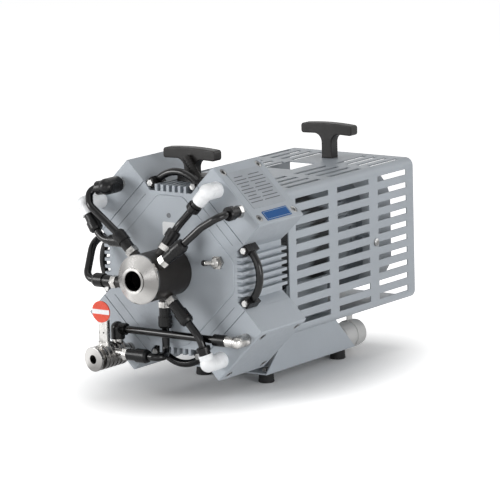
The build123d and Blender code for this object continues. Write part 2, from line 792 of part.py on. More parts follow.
clip_width = 12.0
clip_sheet = 1.2
clip_foot = 14.0
with BuildPart() as capacitor_clip:
    clip_start = capacitor_end - capacitor_length / 2
    add(ring(clip_start, clip_width, capacitor_radius + clip_sheet, capacitor_radius, capacitor_across, capacitor_up))
    with BuildSketch(front_plane(clip_start)):
        with Locations((capacitor_across, (capacitor_up + capacitor_radius + cage_bottom) / 2)):
            Rectangle(clip_sheet, cage_bottom - capacitor_up - capacitor_radius)
        with Locations((capacitor_across + clip_foot / 2 - clip_sheet / 2, cage_bottom - clip_sheet / 2)):
            Rectangle(clip_foot, clip_sheet)
        with Locations((capacitor_across, capacitor_up)):
            Circle(capacitor_radius, mode=Mode.SUBTRACT)
    extrude(amount=-clip_width)
finish(capacitor_clip.part, "capacitor_clip")

motor_reach = motor_radius + motor_fin_height
terminal_y = bell_rear + terminal_place
with BuildPart() as terminal_box:
    with BuildSketch(Plane(origin=at(-motor_reach, terminal_y, 0), x_dir=(0, 1, 0), z_dir=(-1, 0, 0))):
        RectangleRounded(*terminal_size, 5)
    extrude(amount=cage_width / 2 - cage_wall - terminal_gap - motor_reach)
    chamfer(terminal_box.faces().sort_by(Axis.X)[0].edges(), 1.5)
finish(terminal_box.part, "terminal_box")

gland_nut = (15.0, 6.0)  # across flats, height
with BuildPart() as cable_gland:
    gland = at(-motor_reach - 10, terminal_y + terminal_size[0] / 2, 0)
    add(hex_nut(gland, (0, 1, 0), *gland_nut))
    add(turned(gland + Vector(0, gland_nut[1], 0), (0, 1, 0), [(0, 0), (0, 6.6), (9, 6.0), (12, 4.4), (12, 0)]))
finish(cable_gland.part, "cable_gland")


# ---- carrying handles ------------------------------------------------------
def t_handle(y, top, foot):
    """T-grip in one moulding: a crowned bar on a stem that flares into it, standing on the given height."""
    underside = top - bar_height
    half = bar_length / 2
    with BuildPart() as piece:
        with BuildSketch(front_plane(y - bar_depth / 2)) as profile:
            with BuildLine():
                ThreePointArc((-half, top - bar_crown), (0, top), (half, top - bar_crown))
                Polyline(
                    (half, top - bar_crown), (half, underside - bar_crown / 2), (stem_width / 2, underside),
                    (stem_width / 2, foot), (-stem_width / 2, foot), (-stem_width / 2, underside),
                    (-half, underside - bar_crown / 2), (-half, top - bar_crown),
                )
            make_face()
            fillet(profile.vertices().filter_by_position(Axis.Y, underside - 0.1, underside + 0.1), stem_flare)
            columns = profile.vertices().group_by(Axis.X)
            fillet(columns[0] + columns[-1], bar_corner)
        extrude(amount=-bar_depth)
        fronts = piece.faces().sort_by(Axis.Y)
        fillet(fronts[0].edges() + fronts[-1].edges(), bar_edge)
    return piece.part


fin_top = valley_flat + fin_height
strap_y = front_handle[0] - bar_depth / 2 - 4.3
strap_radius = 4.4
strap_rib = 0.8
strap_ribs = 6
strap = [(0, strap_radius)]
for rib in range(strap_ribs):
    rib_start = (rib + 1) * 0.11
    strap += [(rib_start, strap_radius), (rib_start, strap_radius + strap_rib),
              (rib_start + 0.05, strap_radius + strap_rib), (rib_start + 0.05, strap_radius)]
strap += [(0.78, strap_radius), (0.78, strap_radius + strap_rib), (1, strap_radius + strap_rib)]
with BuildPart() as handle_front:
    add(t_handle(front_handle[0], front_handle[1], fin_top))
    with BuildSketch(Plane(origin=at(8, front_handle[0], fin_top), x_dir=(1, 0, 0), z_dir=(0, 0, 1))):
        RectangleRounded(46, 30, 4)
    extrude(amount=7, taper=8)
    add(leg(at(-1, strap_y, front_handle[1] - 10), at(17, strap_y, fin_top + 4.3), strap))
finish(handle_front.part, "handle_front")

with BuildPart() as handle_rear:
    add(t_handle(rear_handle[0], rear_handle[1], cage_top))
finish(handle_rear.part, "handle_rear")

with BuildPart() as handle_post:
    under = cage_top - cage_wall
    with BuildSketch(Plane(origin=at(0, rear_handle[0], under), x_dir=(1, 0, 0), z_dir=(0, 0, 1))):
        RectangleRounded(30, 24, 3)
    extrude(amount=-(under - cowl_height / 2))
finish(handle_post.part, "handle_post")

# ---- inlet flange and distributor ------------------------------------------
inlet_face = at(0, -inlet_reach, 0)
inlet_length = inlet_reach - manifold_front
rim_start = inlet_length - inlet_rim
with BuildPart() as inlet_port:
    add(turned(inlet_face, (0, 1, 0), [
        (0, inlet_bore + inlet_lead), (0, inlet_nose), (inlet_nose_length, inlet_nose),
        (rim_start - 1, inlet_flange - 1.5), (rim_start, inlet_flange - 0.4), (rim_start + 0.4, inlet_flange),
        (inlet_length, inlet_flange), (inlet_length, inlet_bore), (inlet_lead, inlet_bore)]))
finish(inlet_port.part, "inlet_port")

# Each arm of the distributor: the place of its nut and of its outer end.
arms = {
    "ne": ((12.0, -34.0, 31.5), (23.0, -23.5, 54.0)),
    "e": ((25.0, -54.0, 20.0), (52.0, -46.0, 44.0)),
    "nw": ((-25.9, -42.0, 25.0), (-50.4, -42.0, 48.6)),
    "w": ((-46.0, -50.0, -10.0), (-80.0, -50.0, -10.0)),
    "s": ((-6.0, -10.2, -37.0), (-6.0, -10.2, -69.0)),
    "se": ((17.0, -30.0, -28.0), (43.2, -30.0, -54.8)),
}
arm_radius = 6.5
arm_root = 22.0


def arm_ends(name):
    """Inner and outer end of a distributor arm, in the row frame."""
    inner, outer = arms[name]
    return at(*inner), at(*outer)


with BuildPart() as manifold:
    end = manifold_front - cover_proud
    add(turned(at(0, -cover_proud, 0), (0, -1, 0), [
        (0, 0), (0, manifold_radius - manifold_edge), (manifold_edge, manifold_radius),
        (end - manifold_edge, manifold_radius), (end, manifold_radius - manifold_edge), (end, 0)]))
    for name in arms:
        inner, outer = arm_ends(name)
        root = inner - (outer - inner).normalized() * arm_root
        add(leg(root, inner, [(0, arm_radius), (1, arm_radius)]))
    add(turned(at(0, -manifold_floor, 0), (0, -1, 0), [
        (0, 0), (0, inlet_bore + 1), (inlet_reach, inlet_bore + 1), (inlet_reach, 0)]), mode=Mode.SUBTRACT)
finish(manifold.part, "manifold")

# ---- elbows in the head ports ----------------------------------------------
cross_y = -19.6  # the long cross hose and its elbows


def before_port(name, which, y):
    """The point in front of one of a head's ports."""
    across, up = ports[name][which]
    return at(across, y, up)


corner_ne = before_port("ne", 0, -20)
corner_nw = before_port("nw", 1, -32)
corner_se = before_port("se", 0, -27)
corner_black = before_port("nw", 0, -28)
corner_steel = before_port("se", 1, cross_y)
white_radius = 10.0
white_arm = 8.6
black_radius = 10.0
black_reach = 13.0
black_leg = Vector(-0.98, 0, -0.2).normalized()
steel_radius = 7.6
steel_reach = 14.0
thread_length = port_depth - 3

# Moulded white elbows: corner, direction of the second leg, its reach, the sleeve beyond it.
white_ends = (
    (corner_ne, Vector(-1, 0, -1).normalized(), 18.0, 15.0),
    (corner_nw, Vector(0.6, -0.15, -0.786).normalized(), 15.0, 22.0),
    (corner_se, Vector(-0.268, -0.115, 0.957).normalized(), 12.0, 10.0),
)


def round_bar(start, end, radius):
    """Plain cylinder between two points."""
    return leg(start, end, [(0, radius), (1, radius)])


def port_thread(port_face):
    """Thread that fills a head port, drawn as a plain cylinder."""
    return round_bar(port_face, port_face + Vector(0, thread_length, 0), port_radius - running_gap)


def elbow(corner, direction, radius, reach, second):
    """Moulded elbow: threaded leg back to the head, ball corner and a second leg along a direction."""
    port_face = Vector(corner.X, front, corner.Z)
    with BuildPart() as piece:
        add(round_bar(corner, port_face, radius))
        add(port_thread(port_face))
        with Locations(corner):
            Sphere(radius)
        add(round_bar(corner, corner + direction * reach, second))
    return piece.part


with BuildPart() as white_elbows:
    for corner, direction, reach, sleeve in white_ends:
        add(elbow(corner, direction, white_radius, reach, white_arm))
finish(white_elbows.part, "white_elbows")

with BuildPart() as steel_elbow:
    add(elbow(corner_steel, Vector(-1, 0, 0), steel_radius, steel_reach, steel_radius - 0.6))
finish(steel_elbow.part, "steel_elbow")

# ---- outlet with its relief valve ------------------------------------------
outlet_face = at(-77.5, -outlet_reach, -106.0)
outlet_port = before_port("sw", 0, 0)
outlet_way = (outlet_port - outlet_face).normalized()
neck_radius = 8.0
neck_length = 5.0
side_port_up = -101.0
side_port_y = -35.0
side_port_end = -50.0
side_radius = 6.5
adapter_x = -71.3
adapter_top = -87.0
post_x = -74.5
post_y = -42.0
post_foot = -87.0
post_top = -60.5
post_bore = 4.2
post_floor = 5.0
passage = 2.2
cap_height = 5.0
poppet_height = 6.0
poppet_gap = 0.08
spring_radius = 3.2
spring_wire = 0.55
spring_turns = 5
sign_up = -49.0
sign_x = post_x + 2.0
sign_pad = 6.0
vent_hole_side = 3.4
vent_hole_up = 11.8
vent_hole_radius = 0.9
rib_height = 1.2

barrel_start = 9.0
barrel_end = 46.0
rib_pitch = 6.8
barrel = [(0, outlet_bore), (0, outlet_flange - 0.5), (0.5, outlet_flange), (3.2, outlet_flange), (6.2, 9.5),
          (barrel_start, 9.5), (barrel_start, barrel_radius)]
for rib in range(int((barrel_end - barrel_start) / rib_pitch)):
    rib_start = barrel_start + rib * rib_pitch
    barrel += [(rib_start + rib_pitch * 0.55, barrel_radius), (rib_start + rib_pitch * 0.55, barrel_radius - rib_height),
               (rib_start + rib_pitch * 0.95, barrel_radius - rib_height), (rib_start + rib_pitch * 0.95, barrel_radius)]
barrel += [(barrel_end, barrel_radius), (barrel_end, neck_radius), (outlet_reach - neck_length + 1, neck_radius),
           (outlet_reach - neck_length + 1, 0), (barrel_end - 4, 0), (barrel_end - 4, outlet_bore)]

with BuildPart() as outlet_body:
    add(turned(outlet_face, outlet_way, barrel))
    add(round_bar(outlet_port - Vector(0, neck_length, 0), outlet_port, neck_radius))
    add(port_thread(outlet_port))
    add(round_bar(at(-73 + outlet_bore + 2, side_port_y, side_port_up), at(side_port_end, side_port_y, side_port_up),
                  side_radius))
    add(round_bar(at(adapter_x, cross_y, side_port_up + outlet_bore + 2), at(adapter_x, cross_y, adapter_top),
                  side_radius))
    add(round_bar(at(post_x, post_y, side_port_up + outlet_bore + 2), at(post_x, post_y, post_foot), post_radius + 1))
    add(round_bar(at(post_x, post_y, side_port_up), at(post_x, post_y, post_foot), passage), mode=Mode.SUBTRACT)
finish(outlet_body.part, "outlet_body")

post_base = at(post_x, post_y, post_foot)
post_height = post_top - post_foot
with BuildPart() as relief_body:
    add(turned(post_base, (0, 0, 1), [
        (0, passage), (0, post_radius), (post_height - cap_height, post_radius),
        (post_height - cap_height, post_bore), (post_floor, post_bore), (post_floor, passage)]))
    for side in (-1, 1):
        vent_hole = at(post_x + side * vent_hole_side, post_y, post_foot + vent_hole_up)
        add(round_bar(vent_hole, vent_hole - Vector(0, post_radius + 1, 0), vent_hole_radius), mode=Mode.SUBTRACT)
finish(relief_body.part, "relief_body")

poppet_base = post_base + Vector(0, 0, post_floor)
with BuildPart() as relief_poppet:
    add(turned(poppet_base, (0, 0, 1), [
        (0, 0), (0, post_bore - poppet_gap), (poppet_height, post_bore - poppet_gap), (poppet_height, 0)]))
finish(relief_poppet.part, "relief_poppet")

spring_space = post_height - cap_height - post_floor - poppet_height
with BuildPart() as relief_spring:
    coil_base = poppet_base + Vector(0, 0, poppet_height + spring_wire)
    with BuildLine() as coil:
        Helix((spring_space - 2 * spring_wire) / spring_turns, spring_space - 2 * spring_wire, spring_radius,
              center=coil_base)
    with BuildSketch(Plane(origin=coil.line @ 0, z_dir=coil.line % 0)):
        Circle(spring_wire)
    sweep()
finish(relief_spring.part, "relief_spring")

with BuildPart() as relief_cap:
    add(round_bar(post_base + Vector(0, 0, post_height - cap_height), post_base + Vector(0, 0, post_height),
                  post_radius))
    with BuildSketch(Plane(origin=at(post_x, post_y - post_radius / 2, post_top - cap_height), x_dir=(1, 0, 0),
                           z_dir=(0, 0, 1))):
        Rectangle(sign_pad, post_radius)
    extrude(amount=cap_height)
finish(relief_cap.part, "relief_cap")

with BuildPart() as relief_sign:
    with BuildSketch(front_plane(post_y - post_radius - sign_thickness)):
        with Locations((sign_x, sign_up)):
            Circle(sign_radius)
    extrude(amount=-sign_thickness)
finish(relief_sign.part, "relief_sign")

# ---- push-in fittings, distributor fittings and nuts -----------------------
straight_length = 19.0
side_fitting = (-44.0, -14.0)
cross_start = -58.0
cross_up = ports["se"][1][1]
sleeve_start = 74.0
corner_cross = at(adapter_x, cross_y, cross_up)
straight = before_port("ne", 1, -nut_height)
black_end = corner_black + black_leg * black_reach
sleeve_shape = [(0, body_radius), (0.45, body_radius), (0.45, white_arm), (0.9, white_arm), (1, body_radius)]


with BuildPart() as push_fittings:
    for corner, direction, reach, sleeve in white_ends:
        add(leg(corner + direction * reach, corner + direction * (reach + sleeve), sleeve_shape))
    add(leg(corner_steel - Vector(steel_reach, 0, 0), at(sleeve_start, cross_y, cross_up),
            [(0, body_radius), (1, body_radius)]))
    add(leg(straight, straight - Vector(0, straight_length, 0), sleeve_shape))
    add(round_bar(corner_black, Vector(corner_black.X, front - nut_height, corner_black.Z), black_radius))
    with Locations(corner_black):
        Sphere(black_radius)
    add(round_bar(corner_black, black_end, white_arm))
    add(round_bar(at(adapter_x, cross_y, adapter_top), corner_cross, white_arm))
    with Locations(corner_cross):
        Sphere(white_arm)
    add(round_bar(corner_cross, at(cross_start, cross_y, cross_up), body_radius))
    add(leg(at(side_fitting[0], side_port_y, side_port_up), at(side_fitting[1], side_port_y, side_port_up),
            sleeve_shape))
finish(push_fittings.part, "push_fittings")

branch_nw = (at(-40.5, -42.9, 38.3), at(-60.0, -41.0, 38.0))
with BuildPart() as distributor_fittings:
    for name in arms:
        inner, outer = arm_ends(name)
        add(leg(inner + (outer - inner).normalized() * nut_height, outer, sleeve_shape))
    add(round_bar(*branch_nw, body_radius))
finish(distributor_fittings.part, "distributor_fittings")

with BuildPart() as hex_nuts:
    for name in arms:
        inner, outer = arm_ends(name)
        add(hex_nut(inner, outer - inner))
    for place in (before_port("ne", 1, 0), before_port("nw", 0, 0)):
        add(hex_nut(place, (0, -1, 0)))
        add(port_thread(place))
    add(hex_nut(at(side_port_end, side_port_y, side_port_up), (1, 0, 0), nut_across,
                side_fitting[0] - side_port_end))
finish(hex_nuts.part, "hex_nuts")

# ---- hoses from the distributor to the heads and the outlet ----------------
nw_sleeve = corner_nw + white_ends[1][1] * (white_ends[1][2] + white_ends[1][3])
se_sleeve = corner_se + white_ends[2][1] * (white_ends[2][2] + white_ends[2][3])
ne_sleeve = corner_ne + white_ends[0][1] * (white_ends[0][2] + white_ends[0][3])
ne_out = arm_ends("ne")[1]
east_out = arm_ends("e")[1]
nw_out = arm_ends("nw")[1]
west_out = arm_ends("w")[1]
south_out = arm_ends("s")[1]
se_out = arm_ends("se")[1]

hose_seat = 1.0  # each hose is drawn this far into its fittings and trimmed on their faces


def fitted_hose(points, bends):
    """Hose between two fittings, with each end trimmed on its fitting's face."""
    first = points[0] - (points[1] - points[0]).normalized() * hose_seat
    last = points[-1] + (points[-1] - points[-2]).normalized() * hose_seat
    with BuildPart() as piece:
        add(hose([first] + points[1:-1] + [last], hose_radius, bends))
        add(distributor_fittings.part, mode=Mode.SUBTRACT)
        add(push_fittings.part, mode=Mode.SUBTRACT)
    return piece.part


with BuildPart() as hoses_ne:
    add(fitted_hose([ne_out, at(27, -20, 61), ne_sleeve], 25))
    add(fitted_hose([east_out, at(75, -42, 64.5), before_port("ne", 1, -42),
                     straight - Vector(0, straight_length, 0)], [25, 12]))
finish(hoses_ne.part, "hoses_ne")

with BuildPart() as hoses_nw:
    add(fitted_hose([nw_out, at(-90.5, -42, 78.5), at(-99.2, -31, 95.4), black_end], [14, 8.5]))
    add(fitted_hose([branch_nw[1], nw_sleeve + white_ends[1][1] * 13, nw_sleeve], 22))
finish(hoses_nw.part, "hoses_nw")

with BuildPart() as hoses_lower:
    add(fitted_hose([se_out, se_sleeve + white_ends[2][1] * 10, se_sleeve], 28))
    add(round_bar(at(cross_start, cross_y, cross_up), at(sleeve_start, cross_y, cross_up), hose_radius))
    add(fitted_hose([south_out, at(-6, -10.2, side_port_up), at(8, side_port_y, side_port_up),
                     at(side_fitting[1], side_port_y, side_port_up)], [10, 9]))
finish(hoses_lower.part, "hoses_lower")

# ---- blocks, screws and hoses in the valleys between neighbouring heads ----
block_y = 4.0
block_length = 22.0
block_width = 10.6
block_height = 9.6
valley_hose_y = 15.0
valley_bend = 42.0
flank_length = sqrt((pad_edge[1] - valley_flat) ** 2 + (pad_edge[0] - valley_half) ** 2)
flank_x = (pad_edge[1] - valley_flat) / flank_length
flank_z = (pad_edge[0] - valley_half) / flank_length
flank_middle = ((pad_edge[1] + valley_flat) / 2, (pad_edge[0] + valley_half) / 2)
hose_exit = (flank_middle[0] + flank_z * block_height, flank_middle[1] - flank_x * block_height)
hose_apex = hose_exit[0] + hose_exit[1] * flank_z / flank_x


def in_valley(turn, x, y, z):
    """Row-frame place of a point given in the right-hand valley, turned to another valley."""
    for quarter in range(turn):
        x, z = -z, x
    return at(x, y, z)


block_places = [(turn, hand) for turn in range(4) for hand in (1, -1)]
plain_blocks = [place for place in block_places if place != (2, -1)]
with BuildPart() as valley_blocks:
    for turn, hand in block_places:
        root = in_valley(turn, flank_middle[0], block_y + block_length / 2, hand * flank_middle[1])
        tip = in_valley(turn, hose_exit[0], block_y + block_length / 2, hand * hose_exit[1])
        with BuildSketch(Plane(origin=root, x_dir=(0, 1, 0), z_dir=tip - root)):
            Rectangle(block_length, block_width)
        extrude(amount=block_height)
finish(valley_blocks.part, "valley_blocks")

with BuildPart() as banjo_screws:
    for turn, hand in plain_blocks:
        middle = in_valley(turn, (flank_middle[0] + hose_exit[0]) / 2, block_y,
                           hand * (flank_middle[1] + hose_exit[1]) / 2)
        add(hex_nut(middle, (0, -1, 0), 7, 3))
finish(banjo_screws.part, "banjo_screws")

with BuildPart() as valley_hoses:
    for turn in range(4):
        add(hose([in_valley(turn, hose_exit[0], valley_hose_y, hose_exit[1]),
                  in_valley(turn, hose_apex, valley_hose_y, 0),
                  in_valley(turn, hose_exit[0], valley_hose_y, -hose_exit[1])], hose_radius, valley_bend))
finish(valley_hoses.part, "valley_hoses")

west_block = in_valley(2, (flank_middle[0] + hose_exit[0]) / 2, block_y, -(flank_middle[1] + hose_exit[1]) / 2)
with BuildPart() as hose_west:
    add(hose([west_out, west_out - Vector(13, 0, 0), west_block - Vector(0, 24, 0), west_block],
             hose_radius, [14, 30]))
finish(hose_west.part, "hose_west")
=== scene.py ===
"""Looks of an oil-free diaphragm pump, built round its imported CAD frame."""

import json
import math

import bpy
import numpy as np
from mathutils import Matrix, Vector


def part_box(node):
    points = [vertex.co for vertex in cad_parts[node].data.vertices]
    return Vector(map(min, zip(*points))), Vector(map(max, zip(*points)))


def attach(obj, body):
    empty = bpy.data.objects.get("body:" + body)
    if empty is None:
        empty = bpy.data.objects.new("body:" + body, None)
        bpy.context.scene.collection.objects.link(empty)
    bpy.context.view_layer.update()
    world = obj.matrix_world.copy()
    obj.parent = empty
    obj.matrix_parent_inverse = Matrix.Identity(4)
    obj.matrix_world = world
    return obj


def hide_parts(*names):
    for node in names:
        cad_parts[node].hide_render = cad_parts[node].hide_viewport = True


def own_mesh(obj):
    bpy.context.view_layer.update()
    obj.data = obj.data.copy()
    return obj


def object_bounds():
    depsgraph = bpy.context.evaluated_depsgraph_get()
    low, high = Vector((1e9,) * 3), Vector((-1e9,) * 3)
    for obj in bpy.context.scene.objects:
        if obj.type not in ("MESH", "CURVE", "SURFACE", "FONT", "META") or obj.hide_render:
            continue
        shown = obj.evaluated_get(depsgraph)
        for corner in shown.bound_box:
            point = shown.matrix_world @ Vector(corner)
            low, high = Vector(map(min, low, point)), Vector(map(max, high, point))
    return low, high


bl_info = {
    "name": "Diaphragm Pump Finishes",
    "version": (1, 0, 0),
    "blender": (4, 5, 0),
    "location": "View3D > Sidebar > Pump",
    "description": "Finishes, plates and marks of a four-head diaphragm vacuum pump, and its studio",
    "category": "Object",
}

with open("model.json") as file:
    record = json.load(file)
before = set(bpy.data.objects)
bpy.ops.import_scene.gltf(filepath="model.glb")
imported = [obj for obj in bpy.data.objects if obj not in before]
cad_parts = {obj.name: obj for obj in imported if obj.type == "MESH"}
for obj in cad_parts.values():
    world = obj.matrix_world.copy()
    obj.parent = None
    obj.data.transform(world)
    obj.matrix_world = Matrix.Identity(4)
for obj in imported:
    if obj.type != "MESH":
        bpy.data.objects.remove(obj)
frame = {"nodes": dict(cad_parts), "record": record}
CAD_BOX = [list(corner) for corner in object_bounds()]


# ---- places taken from the frame -------------------------------------------
def middle(node):
    """Centre of a CAD node's box, in metres."""
    low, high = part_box(node)
    return (low + high) / 2


def node_points(node):
    """All points of a CAD node, as rows of x, y and z."""
    mesh = frame["nodes"][node].data
    flat = np.empty(len(mesh.vertices) * 3)
    mesh.vertices.foreach_get("co", flat)
    return flat.reshape(-1, 3)


CRANK_HEIGHT = middle("inlet_port").z
COVER_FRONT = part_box("front_cover")[0].y


# ---- sizes and colours a user would change ---------------------------------
class PumpSizes(bpy.types.PropertyGroup):
    plate_length: bpy.props.FloatProperty(
        name="Nameplate length", description="Along the crank axis", default=0.066, unit="LENGTH")
    plate_width: bpy.props.FloatProperty(
        name="Nameplate width", description="Across the head", default=0.056, unit="LENGTH")
    plate_thickness: bpy.props.FloatProperty(
        name="Plate thickness", description="Of the nameplate and the badge", default=0.0005, unit="LENGTH")
    rule_height: bpy.props.FloatProperty(
        name="Rule height", description="Of one blank rule on the nameplate", default=0.0011, unit="LENGTH")
    rule_pitch: bpy.props.FloatProperty(
        name="Rule pitch", description="From one blank rule to the next", default=0.0048, unit="LENGTH")
    strip_width: bpy.props.FloatProperty(
        name="Strip width", description="Of the strip below the nameplate", default=0.0135, unit="LENGTH")
    strip_length: bpy.props.FloatProperty(
        name="Strip length", description="Along the crank axis", default=0.050, unit="LENGTH")
    badge_size: bpy.props.FloatProperty(
        name="Badge size", description="Width of the blank badge on the front cover", default=0.019,
        unit="LENGTH")
    dimple_radius: bpy.props.FloatProperty(
        name="Dimple radius", description="Ring mark above the badge", default=0.0030, unit="LENGTH")
    bar_height: bpy.props.FloatProperty(
        name="Sign bar height", description="White bar across the red disc", default=0.0056, unit="LENGTH")
    spring_wire: bpy.props.FloatProperty(
        name="Spring wire", description="Radius of the relief spring's wire", default=0.00055, unit="LENGTH")
    spring_turns: bpy.props.FloatProperty(
        name="Spring turns", description="Turns of the relief spring", default=5.0)


class PumpColours(bpy.types.PropertyGroup):
    coat: bpy.props.FloatVectorProperty(
        name="Powder coat", description="Heads, crankcase, cage, base and the motor between its bands",
        default=(0.385, 0.420, 0.458), subtype="COLOR", size=3)
    # The motor bands are painted shade: near-black bands where shade falls inside the cage.
    motor: bpy.props.FloatVectorProperty(
        name="Motor bands", description="Dark bands on the motor housing", default=(0.022, 0.024, 0.027),
        subtype="COLOR", size=3)
    cowl: bpy.props.FloatVectorProperty(
        name="Cowl paint", description="Bell, rear shield and fan cowl", default=(0.33, 0.36, 0.395),
        subtype="COLOR", size=3)
    black: bpy.props.FloatVectorProperty(
        name="Black plastic", description="Fittings, terminal box and fan", default=(0.006, 0.006, 0.0065),
        subtype="COLOR", size=3)
    white: bpy.props.FloatVectorProperty(
        name="White plastic", description="Moulded elbows and the sign's bar", default=(0.88, 0.895, 0.91),
        subtype="COLOR", size=3)
    # Bright steel and steel shade are the light and dark of the painted reflection on the turned steel.
    steel: bpy.props.FloatVectorProperty(
        name="Bright steel", description="Outlet, nuts and relief valve", default=(0.54, 0.53, 0.515),
        subtype="COLOR", size=3)
    shade: bpy.props.FloatVectorProperty(
        name="Steel shade", description="Darker side of the turned steel", default=(0.20, 0.195, 0.19),
        subtype="COLOR", size=3)
    red: bpy.props.FloatVectorProperty(
        name="Sign red", description="Disc on the relief valve", default=(0.74, 0.070, 0.030),
        subtype="COLOR", size=3)
    blue: bpy.props.FloatVectorProperty(
        name="Strip blue", description="Blank strip on the head", default=(0.012, 0.085, 0.27),
        subtype="COLOR", size=3)


class PumpLights(bpy.types.PropertyGroup):
    key: bpy.props.FloatProperty(
        name="Key", description="Lamp at the front left", default=34.0)
    side: bpy.props.FloatProperty(
        name="Side", description="Lamp at the right", default=22.0)
    top: bpy.props.FloatProperty(
        name="Top", description="Lamp overhead", default=11.0)
    front: bpy.props.FloatProperty(
        name="Front", description="Low lamp ahead of the pump", default=8.0)
    rear: bpy.props.FloatProperty(
        name="Rear", description="Lamp behind on the right", default=9.0)
    ambient: bpy.props.FloatProperty(name="Ambient", description="Light of the white room", default=0.05)


# ---- surfaces --------------------------------------------------------------
def skin(name, *stacks):
    """One piece of closed surfaces. Each is a stack of equal rings: quads join each ring to the next, and the
    two ends are capped."""
    points, faces = [], []
    for rings in stacks:
        first = sum(len(part) for part in points)
        count, around = rings.shape[:2]
        row, col = np.meshgrid(np.arange(count - 1), np.arange(around), indexing="ij")
        after = (col + 1) % around
        quads = np.stack([row * around + col, row * around + after, (row + 1) * around + after,
                          (row + 1) * around + col], axis=-1).reshape(-1, 4) + first
        last = first + (count - 1) * around
        faces += quads.tolist()
        faces += [list(range(first, first + around))[::-1], list(range(last, last + around))]
        points.append(rings.reshape(-1, 3))
    mesh = bpy.data.meshes.new(name)
    mesh.from_pydata(np.concatenate(points).tolist(), [], faces)
    mesh.update()
    piece = bpy.data.objects.new(name, mesh)
    bpy.context.scene.collection.objects.link(piece)
    return piece


def turned(centre, along, profile, around=48):
    """Rings of a surface of revolution: each (distance, radius) of the profile is a circle about a line along
    a unit direction. The profile's two ends come close to the line, where flat caps close them."""
    along = np.array(along, float)
    first = np.cross(along, (0.0, 0.0, 1.0) if abs(along[2]) < 0.9 else (1.0, 0.0, 0.0))
    first /= np.linalg.norm(first)
    second = np.cross(along, first)
    angle = np.linspace(0, 2 * math.pi, around, endpoint=False)[None, :, None]
    distance, radius = np.array(profile, float).T[:, :, None, None]
    circle = np.cos(angle) * first + np.sin(angle) * second
    return np.array(centre) + distance * along + radius * circle


def rounded_outline(width, height, corner, steps=8):
    """Points of a rounded rectangle: each quarter is an arc of the corner radius about its own centre."""
    quarter = np.linspace(0, math.pi / 2, steps)
    angle = (np.arange(4)[:, None] * math.pi / 2 + quarter[None, :]).ravel()
    side = np.repeat(np.array([[1, 1], [-1, 1], [-1, -1], [1, -1]]), steps, axis=0)
    centre = side * (np.array([width, height]) / 2 - corner)
    return centre + corner * np.stack([np.cos(angle), np.sin(angle)], axis=1)


def band_outline(radius, height, steps=9):
    """Points of the band of a disc between two level lines: an arc of the disc's own rim closes each end."""
    reach = math.asin(height / 2 / radius)
    right = np.linspace(-reach, reach, steps)
    angle = np.concatenate([right, right + math.pi])
    return radius * np.stack([np.cos(angle), np.sin(angle)], axis=1)


def plate(centre, across, up, outline, thickness, rim=0.25):
    """Rings of a thin plate with a softened rim: its outline rises straight for all but the rim's share of
    the thickness, and is drawn in towards the middle from there to the top."""
    across, up = np.array(across, float), np.array(up, float)
    out = np.cross(across, up)
    flat = outline[:, :1] * across + outline[:, 1:] * up
    reach = np.abs(outline).max()
    rings = ((1.0, 0.0), (1.0, 1.0 - rim), (1.0 - rim * thickness / reach, 1.0))
    return np.stack([np.array(centre) + flat * share + out * thickness * level for share, level in rings])


# ---- finishes --------------------------------------------------------------
def new_finish(name):
    material = bpy.data.materials.new(name)
    material.use_nodes = True
    tree = material.node_tree
    return material, tree, tree.nodes["Principled BSDF"]


def add(tree, kind, **values):
    """Node of a kind, with properties and socket values set by name."""
    node = tree.nodes.new(kind)
    for key, value in values.items():
        if hasattr(node, key):
            setattr(node, key, value)
        else:
            node.inputs[key.replace("_", " ").title()].default_value = value
    return node


def feed(tree, spot, value):
    """Set a socket to a plain number, or link another socket to it."""
    if isinstance(value, (int, float)):
        spot.default_value = value
    else:
        tree.links.new(value, spot)


def arithmetic(tree, operation, *terms):
    """Math node over sockets and plain numbers."""
    node = add(tree, "ShaderNodeMath", operation=operation)
    for spot, term in zip(node.inputs, terms):
        feed(tree, spot, term)
    return node.outputs[0]


def object_coordinates(tree):
    return add(tree, "ShaderNodeTexCoord").outputs["Object"]


def object_axes(tree):
    """X, Y and Z of the place on the piece, as three sockets."""
    parts = add(tree, "ShaderNodeSeparateXYZ")
    tree.links.new(object_coordinates(tree), parts.inputs[0])
    return parts.outputs


def wave(tree, turn):
    """Cosine of an angle, moved to run between none and one."""
    return arithmetic(tree, "MULTIPLY_ADD", arithmetic(tree, "COSINE", turn), 0.5, 0.5)


def noise(tree, scale, detail=3.0):
    node = add(tree, "ShaderNodeTexNoise", scale=scale, detail=detail)
    tree.links.new(object_coordinates(tree), node.inputs["Vector"])
    return node.outputs["Fac"]


def ramp(tree, source, low, high, low_at=0.35, high_at=0.65):
    """Colour ramp between two colours."""
    node = add(tree, "ShaderNodeValToRGB")
    for element, place, colour in zip(node.color_ramp.elements, (low_at, high_at), (low, high)):
        element.position = place
        element.color = colour
    tree.links.new(source, node.inputs["Fac"])
    return node.outputs["Color"]


def grey(value):
    return (value, value, value, 1.0)


def tint(colour, factor):
    return tuple(min(1.0, channel * factor) for channel in colour) + (1.0,)


def uneven_colour(tree, shader, colour, scale, darkest, lightest):
    """Base colour that wanders between two tints of a colour."""
    tree.links.new(ramp(tree, noise(tree, scale), tint(colour, darkest), tint(colour, lightest)),
                   shader.inputs["Base Color"])


def uneven_gloss(tree, shader, roughness, scale, spread):
    """Roughness that wanders by a spread about its value."""
    tree.links.new(ramp(tree, noise(tree, scale), grey(roughness - spread), grey(roughness + spread)),
                   shader.inputs["Roughness"])


